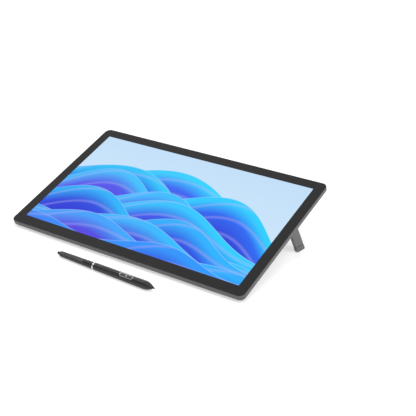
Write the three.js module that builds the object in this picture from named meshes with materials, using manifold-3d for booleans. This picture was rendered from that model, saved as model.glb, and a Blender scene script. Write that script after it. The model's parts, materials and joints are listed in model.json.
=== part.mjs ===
// A pen drawing tablet with a screen, standing on two fold-out legs, and its pen lying in front of it.
// Millimetres, +Z up, +X to the user's right, +Y away from the user.
// The tablet is drawn flat in its own frame (x right, y away from its front edge, z = 0 on the glass,
// z negative into the body) and then leaned back on its legs. The pen is drawn along +X, from its
// eraser end to its nib. The finished group stands on z = 0, centred in x and y.
import * as THREE from "three";
import { mergeVertices } from "three/addons/utils/BufferGeometryUtils.js";
import Module from "manifold-3d";

// ---- Driving dimensions -------------------------------------------------------------------------

// Clearances
const gap = 0.3; // between pieces that touch
const slideGap = 0.35; // round a button in its slot
const cornerSteps = 5; // facets on each rounded corner

// Screen and outline
const screenWidth = 409;
const screenDepth = 230;
const bezelSide = 17.5;
const bezelFront = 19.6;
const bezelRear = 18.6;
const cornerRadius = 10;

// Stance
const tilt = THREE.MathUtils.degToRad(20);
const frontLift = 1.2; // front edge above the table

// Glass and rim frame
const glassThickness = 1.1;
const rimLip = 1;
const rimHeight = 10;
const rimWall = 3.4;
const rimTopChamfer = 0.5;
const rimLowerChamferDepth = 3.5;
const rimLowerChamferInset = 2.2;
const glassShelfWidth = 7;
const glassShelfThickness = 1.2;

// Display stack, each layer with its own border round the active area
const panelBorder = 2.5;
const panelThickness = 1.6;
const backlightBorder = 3;
const backlightThickness = 2;
const digitizerBorder = 3.2;
const digitizerThickness = 0.8;
const chassisBorder = 3.4;
const chassisThickness = 0.6;

// Back shell
const flangeThickness = 1.8;
const shellWall = 2;
const bulgeDepth = 12;
const bulgeCornerRadius = 26;
const bulgeSideMargin = 6; // from the outline's side to the foot of the raised middle
const bulgeFrontMargin = 12;
const bulgeRearMargin = 9;
const bulgeSideRun = 20; // how far the flank runs in before it is flat
const bulgeFrontRun = 50;
const bulgeRearRun = 30;

// Legs
const legWidth = 20.5;
const legThickness = 5;
const legOffset = 0.5; // plate's middle, outward of the hinge axis
const legNeck = 6; // hinge axis to the full-width plate
const legSplay = THREE.MathUtils.degToRad(12);
const legHingeFromSide = 32;
const legPlaceFromRear = 77.2;
const legFootHeight = 9;
const legTongueThickness = 1.8;
const legTongueDrop = 3.4;
const legTongueInset = 4;

// Hinges and leg pockets
const barrelRadius = 3;
const barrelWidth = 12;
const pinRadius = 1.25;
const pinGap = 0.25;
const hingeInset = 0.5; // from the flat of the back up to the barrel
const earThickness = 2.8;
const earRadius = 3.4;
const bracketThickness = 1;
const leafThickness = 0.4;
const leafGap = 0.5; // from the barrel to the leaf
const leafWidth = 5;
const leafLength = 9;
const pocketSideGap = 0.8;
const pocketHeelGap = 4.6;
const pocketFingerRoom = 12;
const pocketWall = 1.6;

// Feet and pads
const frontFootLength = 60;
const frontFootWidth = 6.6;
const frontFootFromSide = 72;
const padRadius = 7;
const padHeight = 1.6;
const padFromSide = 72;
const padFrontInset = 22; // from the flat's front edge
const padRearInset = 12;

// Screws
const screwHeadRadius = 2.8;
const screwHeadHeight = 1.5;
const screwShankRadius = 1.3;
const screwPostRadius = 4.2;
const screwFromSide = 40;
const screwInset = 12; // from the flat's front and rear edges
const standoffRadius = 3;

// Rear edge: two ports with the power button between them
const portLine = -4.6; // height of the row
const portWidth = 8.9;
const portHeight = 3.2;
const portLength = 7.2;
const portWall = 0.6;
const portInnerFromSide = 37;
const portOuterFromSide = 15;
const buttonFromSide = 26;
const buttonWidth = 9;
const buttonHeight = 2.8;
const buttonProud = 0.4;
const buttonFlange = 0.8;
const buttonTravel = 0.5;
const portBoardThickness = 0.8;

// Left flank: bay with two sockets
const bayCentreFromRear = 130;
const bayMouthLength = 62;
const bayFloorLength = 46;
const bayHeight = 9.4;
const bayDepth = 13;
const bayWall = 1.6;
const videoSocketWidth = 14;
const videoSocketHeight = 5;
const baySocketLength = 11;
const baySocketSpread = 20;

// Circuit boards
const boardThickness = 1.6;
const mainBoard = { width: 150, depth: 80, fromRear: 138 };
const driverBoard = { width: 190, depth: 20, fromRear: 32 };
const signalBoard = { width: 90, depth: 30, fromRear: 76 };
const mainBoardDrop = 4.6; // chassis to board
const slimBoardDrop = 0.8;
const chipHeight = 2;
const spreaderThickness = 0.8;
const ribbonThickness = 0.3;
const displayRibbonWidth = 44;
const digitizerRibbonWidth = 26;
const displayRibbonX = -60; // its left edge
const digitizerRibbonX = 10;
const ribbonOverlap = 4; // of a ribbon under its board

// Vents in the flat of the back
const ventCount = 12;
const ventWidth = 2.4;
const ventLength = 16;
const ventPitch = 7;
const ventInset = 26;

// Pen
const penLength = 190;
const penStart = -86; // eraser end, from the tablet's middle
const penAhead = 40.5; // eraser end, in front of the tablet
const penYaw = THREE.MathUtils.degToRad(2.1); // nib end turned towards the user
const penSegments = 20;
const penWall = 1.3;
const eraserRadius = 2.4;
const eraserLength = 5.5;
const eraserTravel = 0.8;
const barrelStart = 4.6;
const barrelRearRadius = 4.4;
const barrelFrontRadius = 5.55;
const ringStart = 73.3;
const ringLength = 2.4;
const gripRearRadius = 5.75;
const gripRadius = 6.65;
const shoulderAt = 171;
const noseRadius = 1.9;
const noseEnd = 186;
const flatLength = 49.7;
const flatDepth = 0.9;
const nibRadius = 1.2;
const nibShankRadius = 0.8;
const nibTravel = 0.8;
const penButtonsCentre = 139;
const penButtonLength = 10.6;
const penButtonWidth = 4;
const penFrameWidth = 0.9;
const penButtonProud = 0.45;
const penFrameProud = 0.2;
const penButtonFloor = 3.6; // from the pen's axis
const penButtonTurn = THREE.MathUtils.degToRad(30); // the buttons face up and towards the user

// ---- Sizes worked out from them -----------------------------------------------------------------

const width = screenWidth + 2 * bezelSide;
const depth = screenDepth + bezelFront + bezelRear;
const side = width / 2;
const flatZ = -rimHeight - bulgeDepth; // the flat of the back
const flangeTop = -rimHeight + flangeThickness;
const panelTop = -glassThickness - gap;
const backlightTop = panelTop - panelThickness - gap;
const digitizerTop = backlightTop - backlightThickness - gap;
const chassisTop = digitizerTop - digitizerThickness - gap;
const chassisBottom = chassisTop - chassisThickness;
const flatFront = bulgeFrontMargin + bulgeFrontRun;
const flatRear = depth - bulgeRearMargin - bulgeRearRun;
const legHingeX = side - legHingeFromSide;
const legY = depth - legPlaceFromRear;
const hingeZ = flatZ + hingeInset + barrelRadius;
const leafLow = barrelRadius + leafGap; // this and the next are heights above the hinge axis
const bridgeTop = leafLow + leafThickness + gap + bracketThickness;
const pocketCeiling = hingeZ + bridgeTop + gap;
const earOffset = barrelWidth / 2 + gap + earThickness / 2;
const bayY = depth - bayCentreFromRear;
const bayTop = -rimHeight - 0.4;
const bayBack = -side + bulgeSideMargin + bayDepth;
const bayBoardLow = bayTop - bayHeight / 2 + videoSocketHeight / 2 + gap; // above the sockets
const portInnerX = side - portInnerFromSide;
const portOuterX = side - portOuterFromSide;
const buttonX = side - buttonFromSide;
const screwX = side - screwFromSide;
const screwPlaces = [-screwX, 0, screwX].flatMap((x) => [
  [x, flatFront + screwInset],
  [x, flatRear - screwInset],
]);

// ---- Materials ----------------------------------------------------------------------------------

const finish = (color, roughness, metalness) =>
  new THREE.MeshStandardMaterial({ color, roughness, metalness });
const materials = {
  glass: finish(0x232325, 0.12, 0),
  rim: finish(0x5c5a5b, 0.42, 0.8),
  shell: finish(0x3a393b, 0.55, 0.2),
  leg: finish(0x4c4b4c, 0.4, 0.7),
  rubber: finish(0x161616, 0.9, 0),
  steel: finish(0xa9a9a6, 0.35, 0.9),
  board: finish(0x1d5b34, 0.6, 0.1),
  panel: finish(0x7fb4e8, 0.3, 0),
  backlight: finish(0xe8eaec, 0.6, 0),
  chassis: finish(0xb5b8ba, 0.4, 0.8),
  film: finish(0xb8742a, 0.5, 0.1),
  copper: finish(0xb06a36, 0.35, 0.9),
  ferrite: finish(0x35353a, 0.7, 0.1),
  pen: finish(0x2a292b, 0.45, 0.1),
  silver: finish(0xc9c8c6, 0.25, 0.95),
  nib: finish(0x141414, 0.6, 0),
};

// ---- Building blocks ----------------------------------------------------------------------------

const wasm = await Module();
wasm.setup();

function solid(geometry) {
  const bare = geometry.clone();
  bare.deleteAttribute("normal");
  bare.deleteAttribute("uv");
  const merged = mergeVertices(bare, 1e-4);
  return new wasm.Manifold(
    new wasm.Mesh({
      numProp: 3,
      vertProperties: merged.getAttribute("position").array,
      triVerts: new Uint32Array(merged.index.array),
    }),
  );
}

function geometryOf(body) {
  const { vertProperties, triVerts } = body.getMesh();
  const geometry = new THREE.BufferGeometry();
  geometry.setAttribute("position", new THREE.BufferAttribute(vertProperties, 3));
  geometry.setIndex(new THREE.BufferAttribute(triVerts, 1));
  geometry.computeVertexNormals();
  return geometry;
}

function piece(group, name, shape, material) {
  const geometry = shape.isBufferGeometry ? shape : geometryOf(shape);
  const mesh = new THREE.Mesh(geometry, material);
  mesh.name = name;
  group.add(mesh);
  return mesh;
}

const box = (left, right, front, rear, low, high) =>
  new THREE.BoxGeometry(right - left, rear - front, high - low).translate(
    (left + right) / 2,
    (front + rear) / 2,
    (low + high) / 2,
  );

// A rounded rectangle at height z, anticlockwise from above.
function roundedLoop({ left, right, front, rear, radius, z }) {
  const corners = [
    [right - radius, front + radius, -90],
    [right - radius, rear - radius, 0],
    [left + radius, rear - radius, 90],
    [left + radius, front + radius, 180],
  ];
  return corners.flatMap(([x, y, start]) =>
    Array.from({ length: cornerSteps + 1 }, (_, step) => {
      const angle = THREE.MathUtils.degToRad(start + (90 * step) / cornerSteps);
      return [x + radius * Math.cos(angle), y + radius * Math.sin(angle), z];
    }),
  );
}

// A closed solid through loops of equal length, from the lowest to the highest.
function loft(loops) {
  const count = loops[0].length;
  const last = (loops.length - 1) * count;
  const faces = [];
  for (let level = 0; level + 1 < loops.length; level++) {
    for (let i = 0; i < count; i++) {
      const next = (i + 1) % count;
      const a = level * count + i;
      const b = level * count + next;
      faces.push(a, b, b + count, a, b + count, a + count);
    }
  }
  for (let i = 1; i + 1 < count; i++) {
    faces.push(0, i + 1, i, last, last + i, last + i + 1);
  }
  const geometry = new THREE.BufferGeometry();
  geometry.setAttribute("position", new THREE.Float32BufferAttribute(loops.flat(2), 3));
  geometry.setIndex(faces);
  geometry.computeVertexNormals();
  return geometry;
}

// The tablet's outline, pulled in by an inset.
const outline = (inset, z) =>
  roundedLoop({
    left: -side + inset,
    right: side - inset,
    front: inset,
    rear: depth - inset,
    radius: Math.max(cornerRadius - inset, 1.5),
    z,
  });

const outlinePlate = (inset, low, high) => loft([outline(inset, low), outline(inset, high)]);

// A plate over the active area with a border round it.
const screenPlate = (border, top, thickness) =>
  box(
    -screenWidth / 2 - border,
    screenWidth / 2 + border,
    bezelFront - border,
    depth - bezelRear + border,
    top - thickness,
    top,
  );

// A solid of revolution about +X through points [along, radius].
function turned(points, segments = penSegments) {
  const profile = points.map(([along, radius]) => new THREE.Vector2(radius, along));
  return new THREE.LatheGeometry(profile, segments).rotateZ(-Math.PI / 2);
}

// A tube about +X between two places, with its bore.
const tube = (start, end, radius, bore, segments = penSegments) =>
  turned([[start, bore], [start, radius], [end, radius], [end, bore], [start, bore]], segments);

// An upright round post.
const post = (x, y, low, high, radius, segments = 12) =>
  new THREE.CylinderGeometry(radius, radius, high - low, segments)
    .rotateX(Math.PI / 2)
    .translate(x, y, (low + high) / 2);

// A rod along Y.
const rodY = (radius, length, segments = 16) =>
  new THREE.CylinderGeometry(radius, radius, length, segments);

// A slot with round ends, lying along X, cut along a direction through it.
function pill(length, height, thickness) {
  const shape = new THREE.Shape();
  const reach = (length - height) / 2;
  shape.absarc(reach, 0, height / 2, -Math.PI / 2, Math.PI / 2);
  shape.absarc(-reach, 0, height / 2, Math.PI / 2, (3 * Math.PI) / 2);
  const options = { depth: thickness, bevelEnabled: false, curveSegments: 5 };
  return new THREE.ExtrudeGeometry(shape, options).translate(0, 0, -thickness / 2);
}

// The same slot standing in the rear wall, through it.
const rearPill = (x, length, height, front, rear) =>
  pill(length, height, rear - front)
    .rotateX(Math.PI / 2)
    .translate(x, (front + rear) / 2, portLine);

// ---- Tablet -------------------------------------------------------------------------------------

const root = new THREE.Group();
const tablet = new THREE.Group();
tablet.rotation.x = tilt;
tablet.position.set(
  0,
  -rimHeight * Math.sin(tilt),
  rimHeight * Math.cos(tilt) + frontLift,
);
root.add(tablet);
tablet.updateMatrixWorld(true);

// Everything above the table, or above a plane parallel to it, in the tablet's frame.
function aboveTable(height) {
  const reach = 800;
  const room = box(-reach, reach, -reach, reach, height, height + reach);
  return solid(room.applyMatrix4(tablet.matrixWorld.clone().invert()));
}

function screenStack() {
  const inset = rimLip + gap;
  piece(tablet, "cover_glass", outlinePlate(inset, -glassThickness, 0), materials.glass);
  piece(
    tablet,
    "display_panel",
    screenPlate(panelBorder, panelTop, panelThickness),
    materials.panel,
  );
  piece(
    tablet,
    "backlight_unit",
    screenPlate(backlightBorder, backlightTop, backlightThickness),
    materials.backlight,
  );
  piece(
    tablet,
    "digitizer_board",
    screenPlate(digitizerBorder, digitizerTop, digitizerThickness),
    materials.board,
  );
}

function rimFrame() {
  const outer = loft([
    outline(rimLowerChamferInset, -rimHeight),
    outline(0, -rimHeight + rimLowerChamferDepth),
    outline(0, -rimTopChamfer),
    outline(rimTopChamfer, 0),
  ]);
  const seat = -glassThickness - gap;
  const cuts = [
    outlinePlate(rimLip, seat, 1),
    outlinePlate(glassShelfWidth, seat - glassShelfThickness - 1, 1),
    outlinePlate(rimWall, -rimHeight - 1, seat - glassShelfThickness),
    ...[portInnerX, portOuterX].map((x) =>
      rearPill(x, portWidth + 2 * gap, portHeight + 2 * gap, depth - rimWall - 2, depth + 1),
    ),
    rearPill(
      buttonX,
      buttonWidth + 2 * slideGap,
      buttonHeight + 2 * slideGap,
      depth - rimWall - 2,
      depth + 1,
    ),
  ];
  const body = cuts.reduce((left, cut) => left.subtract(solid(cut)), solid(outer));
  piece(tablet, "rim_frame", body, materials.rim);
}

// The raised middle of the back at one height: share 0 at its foot, 1 on the flat.
function bulgeLoop(share, fall, inset, rise) {
  return roundedLoop({
    left: -side + bulgeSideMargin + share * bulgeSideRun + inset,
    right: side - bulgeSideMargin - share * bulgeSideRun - inset,
    front: bulgeFrontMargin + share * bulgeFrontRun + inset,
    rear: depth - bulgeRearMargin - share * bulgeRearRun - inset,
    radius: bulgeCornerRadius - inset,
    z: -rimHeight - fall * bulgeDepth + rise,
  });
}

// Its profile, as [share of the run, share of the fall], from the flat up to the foot.
const bulgeProfile = [
  [1, 1],
  [0.52, 0.78],
  [0.18, 0.36],
  [0, 0],
];

const bulge = (inset, rise, top) =>
  loft([
    ...bulgeProfile.map(([share, fall]) => bulgeLoop(share, fall, inset, rise)),
    roundedLoop({
      left: -side + bulgeSideMargin + inset,
      right: side - bulgeSideMargin - inset,
      front: bulgeFrontMargin + inset,
      rear: depth - bulgeRearMargin - inset,
      radius: bulgeCornerRadius - inset,
      z: top,
    }),
  ]);

// How far the leg reaches from its hinge axis to the table, along its middle.
function legReach() {
  const hinge = new THREE.Vector3(legHingeX, legY, hingeZ).applyMatrix4(tablet.matrixWorld);
  const along = new THREE.Vector3(Math.sin(legSplay), 0, -Math.cos(legSplay)).transformDirection(
    tablet.matrixWorld,
  );
  return -hinge.z / along.z;
}

// The room a folded leg lies in, with a margin round it and its own ceiling.
function pocketRoom(hand, margin, ceiling) {
  const half = legWidth / 2 + pocketSideGap + margin;
  const rise = (legWidth / 2) * Math.tan(tilt); // the leg's longer rear edge
  const reach = legReach() + rise + pocketFingerRoom;
  const ends = [hand * (legHingeX - reach - margin), hand * (legHingeX + pocketHeelGap + margin)];
  return box(Math.min(...ends), Math.max(...ends), legY - half, legY + half, flatZ - 1, ceiling);
}

// The bay in the left flank, wider at its mouth than at its floor, with a margin round it.
function bayRoom(margin) {
  const shape = new THREE.Shape();
  shape.moveTo(-bayMouthLength / 2 - margin, bayTop + margin);
  shape.lineTo(-bayFloorLength / 2 - margin, bayTop - bayHeight - margin);
  shape.lineTo(bayFloorLength / 2 + margin, bayTop - bayHeight - margin);
  shape.lineTo(bayMouthLength / 2 + margin, bayTop + margin);
  const reach = bayBack + margin + side + 20;
  const room = new THREE.ExtrudeGeometry(shape, { depth: reach, bevelEnabled: false });
  // the shape's x becomes the tablet's y, its y the tablet's z, and its depth runs out to the left
  const turn = new THREE.Matrix4().makeBasis(
    new THREE.Vector3(0, 1, 0),
    new THREE.Vector3(0, 0, 1),
    new THREE.Vector3(1, 0, 0),
  );
  return room.applyMatrix4(turn).translate(bayBack + margin - reach, bayY, 0);
}

const baySocketPlaces = { video: bayY + baySocketSpread / 2, usb: bayY - baySocketSpread / 2 };
const baySocketLine = bayTop - bayHeight / 2;

// A socket's shell or the hole for it, lying along X with its mouth to the left.
const baySocketBlock = (y, socketWidth, socketHeight, left, right, margin = 0) =>
  box(
    left,
    right,
    y - socketWidth / 2 - margin,
    y + socketWidth / 2 + margin,
    baySocketLine - socketHeight / 2 - margin,
    baySocketLine + socketHeight / 2 + margin,
  );

function backShell() {
  const skin = solid(bulge(0, 0, flangeTop));
  const hollow = solid(bulge(shellWall, shellWall, flangeTop + 1));
  const flange = solid(outlinePlate(rimWall + gap, -rimHeight, flangeTop));
  let body = skin.add(flange).subtract(hollow);
  for (const hand of [-1, 1]) {
    const wall = solid(pocketRoom(hand, pocketWall, pocketCeiling + pocketWall));
    body = body.add(wall.intersect(skin)).subtract(solid(pocketRoom(hand, 0, pocketCeiling)));
  }
  body = body.add(solid(bayRoom(bayWall)).intersect(skin)).subtract(solid(bayRoom(0)));
  const { video, usb } = baySocketPlaces;
  const through = [bayBack - 1, bayBack + bayWall + 1];
  body = body
    .subtract(solid(baySocketBlock(video, videoSocketWidth, videoSocketHeight, ...through, gap)))
    .subtract(solid(baySocketBlock(usb, portWidth, portHeight, ...through, gap)));
  for (const [x, y] of screwPlaces) {
    const top = chassisBottom - 2 * gap - 1;
    body = body
      .add(solid(post(x, y, flatZ + 0.5, top, screwPostRadius)))
      .subtract(solid(post(x, y, flatZ - 1, top + 1, screwShankRadius + gap)))
      .subtract(solid(post(x, y, flatZ - 1, flatZ + screwHeadHeight + gap, screwHeadRadius + gap)));
  }
  for (let i = 0; i < ventCount; i++) {
    const x = (i - (ventCount - 1) / 2) * ventPitch;
    const front = flatFront + ventInset;
    const slot = box(
      x - ventWidth / 2,
      x + ventWidth / 2,
      front,
      front + ventLength,
      flatZ - 1,
      flatZ + shellWall + 1,
    );
    body = body.subtract(solid(slot));
  }
  piece(tablet, "back_shell", body, materials.shell);
}

function backScrews() {
  screwPlaces.forEach(([x, y], index) => {
    const head = solid(post(0, 0, 0, screwHeadHeight, screwHeadRadius, 16));
    const tip = chassisBottom - gap - flatZ - gap;
    const shank = solid(post(0, 0, screwHeadHeight - 0.5, tip, screwShankRadius, 10));
    const socket = solid(post(0, 0, -1, 0.8, 1.1, 6));
    const name = "back_screw_" + (index + 1);
    const screw = piece(tablet, name, head.add(shank).subtract(socket), materials.steel);
    screw.position.set(x, y, flatZ + gap);
  });
}

// Boards hang below the chassis on standoffs that are pressed into it.
function boardCorners({ width: long, depth: deep, fromRear }) {
  const inset = 5;
  const y = depth - fromRear;
  return [-1, 1].flatMap((across) =>
    [-1, 1].map((along) => [across * (long / 2 - inset), y + along * (deep / 2 - inset)]),
  );
}

function chassis() {
  let body = solid(screenPlate(chassisBorder, chassisTop, chassisThickness));
  for (const [x, y] of boardCorners(mainBoard)) {
    const low = chassisBottom - mainBoardDrop + gap;
    body = body.add(solid(post(x, y, low, chassisTop, standoffRadius, 8)));
  }
  for (const board of [driverBoard, signalBoard]) {
    for (const [x, y] of boardCorners(board)) {
      const low = chassisBottom - slimBoardDrop + gap;
      body = body.add(solid(post(x, y, low, chassisTop, standoffRadius, 8)));
    }
  }
  piece(tablet, "chassis_plate", body, materials.chassis);
}

function circuitBoard(name, board, drop, chips) {
  const y = depth - board.fromRear;
  const top = chassisBottom - drop;
  let body = solid(
    box(
      -board.width / 2,
      board.width / 2,
      y - board.depth / 2,
      y + board.depth / 2,
      top - boardThickness,
      top,
    ),
  );
  for (const [x, dy, long, deep] of chips) {
    const low = top - boardThickness - chipHeight;
    const chip = box(x - long / 2, x + long / 2, y + dy - deep / 2, y + dy + deep / 2, low, top);
    body = body.add(solid(chip));
  }
  piece(tablet, name, body, materials.board);
}

function electronics() {
  circuitBoard("main_board", mainBoard, mainBoardDrop, [
    [-20, 4, 24, 24],
    [24, 8, 18, 14],
    [52, -16, 12, 20],
    [-54, -18, 16, 12],
  ]);
  circuitBoard("display_driver_board", driverBoard, slimBoardDrop, [
    [-40, 0, 16, 8],
    [62, 0, 20, 8],
  ]);
  circuitBoard("pen_signal_board", signalBoard, slimBoardDrop, [[0, 0, 14, 14]]);

  const chipFace = chassisBottom - mainBoardDrop - boardThickness - chipHeight;
  const boardY = depth - mainBoard.fromRear;
  piece(
    tablet,
    "heat_spreader",
    box(-46, 46, boardY - 26, boardY + 26, chipFace - gap - spreaderThickness, chipFace - gap),
    materials.chassis,
  );

  ribbon("display_ribbon", displayRibbonX, displayRibbonWidth, panelTop - panelThickness / 2, driverBoard);
  const digitizerMiddle = digitizerTop - digitizerThickness / 2;
  ribbon("digitizer_ribbon", digitizerRibbonX, digitizerRibbonWidth, digitizerMiddle, signalBoard);
}

// A flat ribbon out of a layer's rear edge, round the chassis and forward under a board.
function ribbon(name, x, ribbonWidth, startZ, board) {
  const layerEdge = depth - bezelRear + chassisBorder;
  const fold = layerEdge + 2 * gap;
  const low = chassisBottom - slimBoardDrop - boardThickness - gap - ribbonThickness / 2;
  const end = depth - board.fromRear + board.depth / 2 - ribbonOverlap;
  const half = ribbonThickness / 2;
  const shape = new THREE.Shape();
  shape.moveTo(layerEdge, startZ + half);
  shape.lineTo(fold + half, startZ + half);
  shape.lineTo(fold + half, low - half);
  shape.lineTo(end, low - half);
  shape.lineTo(end, low + half);
  shape.lineTo(fold - half, low + half);
  shape.lineTo(fold - half, startZ - half);
  shape.lineTo(layerEdge, startZ - half);
  const strip = new THREE.ExtrudeGeometry(shape, { depth: ribbonWidth, bevelEnabled: false });
  const turn = new THREE.Matrix4().makeBasis(
    new THREE.Vector3(0, 1, 0),
    new THREE.Vector3(0, 0, 1),
    new THREE.Vector3(1, 0, 0),
  );
  piece(tablet, name, strip.applyMatrix4(turn).translate(x, 0, 0), materials.film);
}

// A small socket: a metal shell round a blind opening with a tongue in it.
function socketSolid(outer, opening, tongue) {
  return solid(outer).subtract(solid(opening)).add(solid(tongue));
}

function rearPorts() {
  const face = depth - 0.4;
  const back = face - portLength;
  for (const [name, x] of [
    ["usb_socket_inner", portInnerX],
    ["usb_socket_outer", portOuterX],
  ]) {
    const shell = rearPill(x, portWidth, portHeight, back, face);
    const mouth = rearPill(
      x,
      portWidth - 2 * portWall,
      portHeight - 2 * portWall,
      back + 1.2,
      face + 1,
    );
    const half = portWidth / 2 - 1.6;
    const tongue = box(x - half, x + half, back + 0.5, face - 1.2, portLine - 0.35, portLine + 0.35);
    piece(tablet, name, socketSolid(shell, mouth, tongue), materials.steel);
  }
  const boardTop = portLine - portHeight / 2 - gap;
  const right = portOuterX + portWidth / 2 + 1;
  piece(
    tablet,
    "port_board",
    box(
      portInnerX - portWidth / 2 - 2,
      right,
      depth - rimWall - gap - 7.4,
      depth - rimWall - gap,
      boardTop - portBoardThickness,
      boardTop,
    ),
    materials.board,
  );

  const inner = depth - rimWall - gap; // inside face of the rear wall
  const cap = rearPill(buttonX, buttonWidth, buttonHeight, inner - 0.2, depth + buttonProud);
  const stop = rearPill(
    buttonX,
    buttonWidth + 1.6,
    buttonHeight + 0.8,
    inner - buttonFlange,
    inner,
  );
  piece(tablet, "power_button", solid(cap).add(solid(stop)), materials.silver);
  const switchFace = inner - buttonFlange - buttonTravel - gap;
  piece(
    tablet,
    "power_switch",
    box(buttonX - 2, buttonX + 2, switchFace - 2.6, switchFace, boardTop + gap, portLine + 1),
    materials.steel,
  );
}

function bayPorts() {
  const face = bayBack + 0.4;
  const back = face + baySocketLength;
  const { video, usb } = baySocketPlaces;
  for (const [name, y, long, tall] of [
    ["bay_video_socket", video, videoSocketWidth, videoSocketHeight],
    ["bay_usb_socket", usb, portWidth, portHeight],
  ]) {
    const shell = baySocketBlock(y, long, tall, face, back);
    const mouth = baySocketBlock(y, long, tall, face - 1, back - 2, -portWall);
    const tongue = baySocketBlock(y, long - 3.4, 0.7, face + 1.2, back - 0.5);
    piece(tablet, name, socketSolid(shell, mouth, tongue), materials.steel);
  }
  piece(
    tablet,
    "bay_board",
    box(
      bayBack + bayWall + gap,
      back + 4,
      bayY - bayFloorLength / 2,
      bayY + bayFloorLength / 2,
      bayBoardLow,
      bayBoardLow + portBoardThickness,
    ),
    materials.board,
  );
}

// ---- Legs ---------------------------------------------------------------------------------------

// A leg drawn hanging straight down from its hinge axis, outward side towards +X.
function legBlank(low, thickness, sideInset) {
  const half = legWidth / 2 - sideInset;
  return box(legOffset - thickness / 2, legOffset + thickness / 2, -half, half, low, -legNeck);
}

// Where a leg's own frame stands in the tablet's frame.
function legFrame(hand) {
  return new THREE.Matrix4()
    .makeTranslation(hand * legHingeX, legY, hingeZ)
    .multiply(new THREE.Matrix4().makeRotationY(-hand * legSplay));
}

function leg(hand, label) {
  const long = -legReach() - 30;
  const inTablet = (shape) => {
    const drawn = shape.clone();
    if (hand < 0) drawn.rotateZ(Math.PI);
    return solid(drawn.applyMatrix4(legFrame(hand)));
  };
  const plate = inTablet(legBlank(long, legThickness, 0));
  const tongue = inTablet(legBlank(long, legTongueThickness, legTongueInset));
  const socket = inTablet(legBlank(long, legTongueThickness + 2 * gap, legTongueInset - gap));
  const barrel = inTablet(rodY(barrelRadius, barrelWidth));
  const neckHalf = barrelWidth / 2;
  const neck = inTablet(
    box(
      legOffset - legThickness / 2,
      legOffset + legThickness / 2,
      -neckHalf,
      neckHalf,
      -legNeck - 1,
      0,
    ),
  );
  const bore = inTablet(rodY(pinRadius + pinGap, barrelWidth + 2));

  const body = plate
    .intersect(aboveTable(legFootHeight))
    .add(tongue.intersect(aboveTable(legFootHeight - legTongueDrop)))
    .add(neck)
    .add(barrel)
    .subtract(bore);
  piece(tablet, "leg_" + label, body, materials.leg);

  const foot = plate
    .intersect(aboveTable(0))
    .subtract(aboveTable(legFootHeight - gap))
    .subtract(socket.intersect(aboveTable(legFootHeight - legTongueDrop - gap)));
  piece(tablet, "leg_foot_" + label, foot, materials.rubber);
}

function hinge(hand, label) {
  const place = new THREE.Group();
  place.position.set(hand * legHingeX, legY, hingeZ);
  tablet.add(place);

  const half = earOffset + earThickness / 2;
  const bridgeLow = bridgeTop - bracketThickness;
  let bracket = solid(box(-earRadius, earRadius, -half, half, bridgeLow, bridgeTop));
  for (const end of [-1, 1]) {
    const y = end * earOffset;
    const upright = box(
      -earRadius,
      earRadius,
      y - earThickness / 2,
      y + earThickness / 2,
      0,
      bridgeTop,
    );
    const eye = rodY(earRadius, earThickness).translate(0, y, 0);
    bracket = bracket.add(solid(upright)).add(solid(eye));
  }
  bracket = bracket.subtract(solid(rodY(pinRadius + pinGap, 2 * half + 2)));
  piece(place, "hinge_bracket_" + label, bracket, materials.steel);
  piece(place, "hinge_pin_" + label, rodY(pinRadius, 2 * half), materials.steel);

  // A flat spring under the bracket's bridge, pressing on the leg's barrel.
  const leaf = box(
    -leafLength / 2,
    leafLength / 2,
    -leafWidth / 2,
    leafWidth / 2,
    leafLow,
    leafLow + leafThickness,
  );
  piece(place, "hinge_leaf_" + label, leaf, materials.steel);
}

// ---- Feet and pads ------------------------------------------------------------------------------

function feet() {
  for (const [hand, label] of [
    [-1, "left"],
    [1, "right"],
  ]) {
    const front = rimWall + 2 * gap;
    const block = loft([
      roundedLoop({
        left: hand * (side - frontFootFromSide) - frontFootLength / 2,
        right: hand * (side - frontFootFromSide) + frontFootLength / 2,
        front,
        rear: front + frontFootWidth,
        radius: frontFootWidth / 2 - 0.2,
        z: flatZ,
      }),
      roundedLoop({
        left: hand * (side - frontFootFromSide) - frontFootLength / 2,
        right: hand * (side - frontFootFromSide) + frontFootLength / 2,
        front,
        rear: front + frontFootWidth,
        radius: frontFootWidth / 2 - 0.2,
        z: -rimHeight - gap,
      }),
    ]);
    const wedge = solid(block).intersect(aboveTable(0));
    piece(tablet, "front_foot_" + label, wedge, materials.rubber);

    for (const [end, y] of [
      ["front", flatFront + padFrontInset],
      ["rear", flatRear - padRearInset],
    ]) {
      const profile = [
        [0, 0],
        [0.5, padRadius - 1.4],
        [padHeight, padRadius],
        [padHeight, 0],
      ];
      const pad = turned(profile, 20).rotateY(-Math.PI / 2);
      const mesh = piece(tablet, `back_pad_${end}_${label}`, pad, materials.rubber);
      mesh.position.set(hand * (side - padFromSide), y, flatZ - gap - padHeight);
    }
  }
}

// ---- Pen ----------------------------------------------------------------------------------------

const pen = new THREE.Group();
const gripTaper = Math.atan((gripRadius - gripRearRadius) / (shoulderAt - ringStart - ringLength));
pen.rotation.set(0, -gripTaper, -penYaw, "ZYX"); // the whole grip lies on the table
pen.position.set(
  penStart,
  -penAhead,
  gripRearRadius / Math.cos(gripTaper) - (ringStart + ringLength) * Math.sin(gripTaper),
);
root.add(pen);

// The buttons' side of the pen, turned about its axis.
const penFace = new THREE.Group();
penFace.rotation.x = penButtonTurn;
pen.add(penFace);

const gripStart = ringStart + ringLength + gap;
const noseMiddle = (shoulderAt + noseEnd) / 2;

// The grip's outer line, moved out by an amount.
function gripLine(out) {
  return [
    [gripStart, gripRearRadius + out],
    [shoulderAt, gripRadius + out],
    [shoulderAt + 5, gripRadius - 0.35 + out],
    [noseMiddle + 2, (gripRadius + noseRadius) / 2 + 0.35 + out],
    [noseEnd, noseRadius + out],
  ];
}

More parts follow.
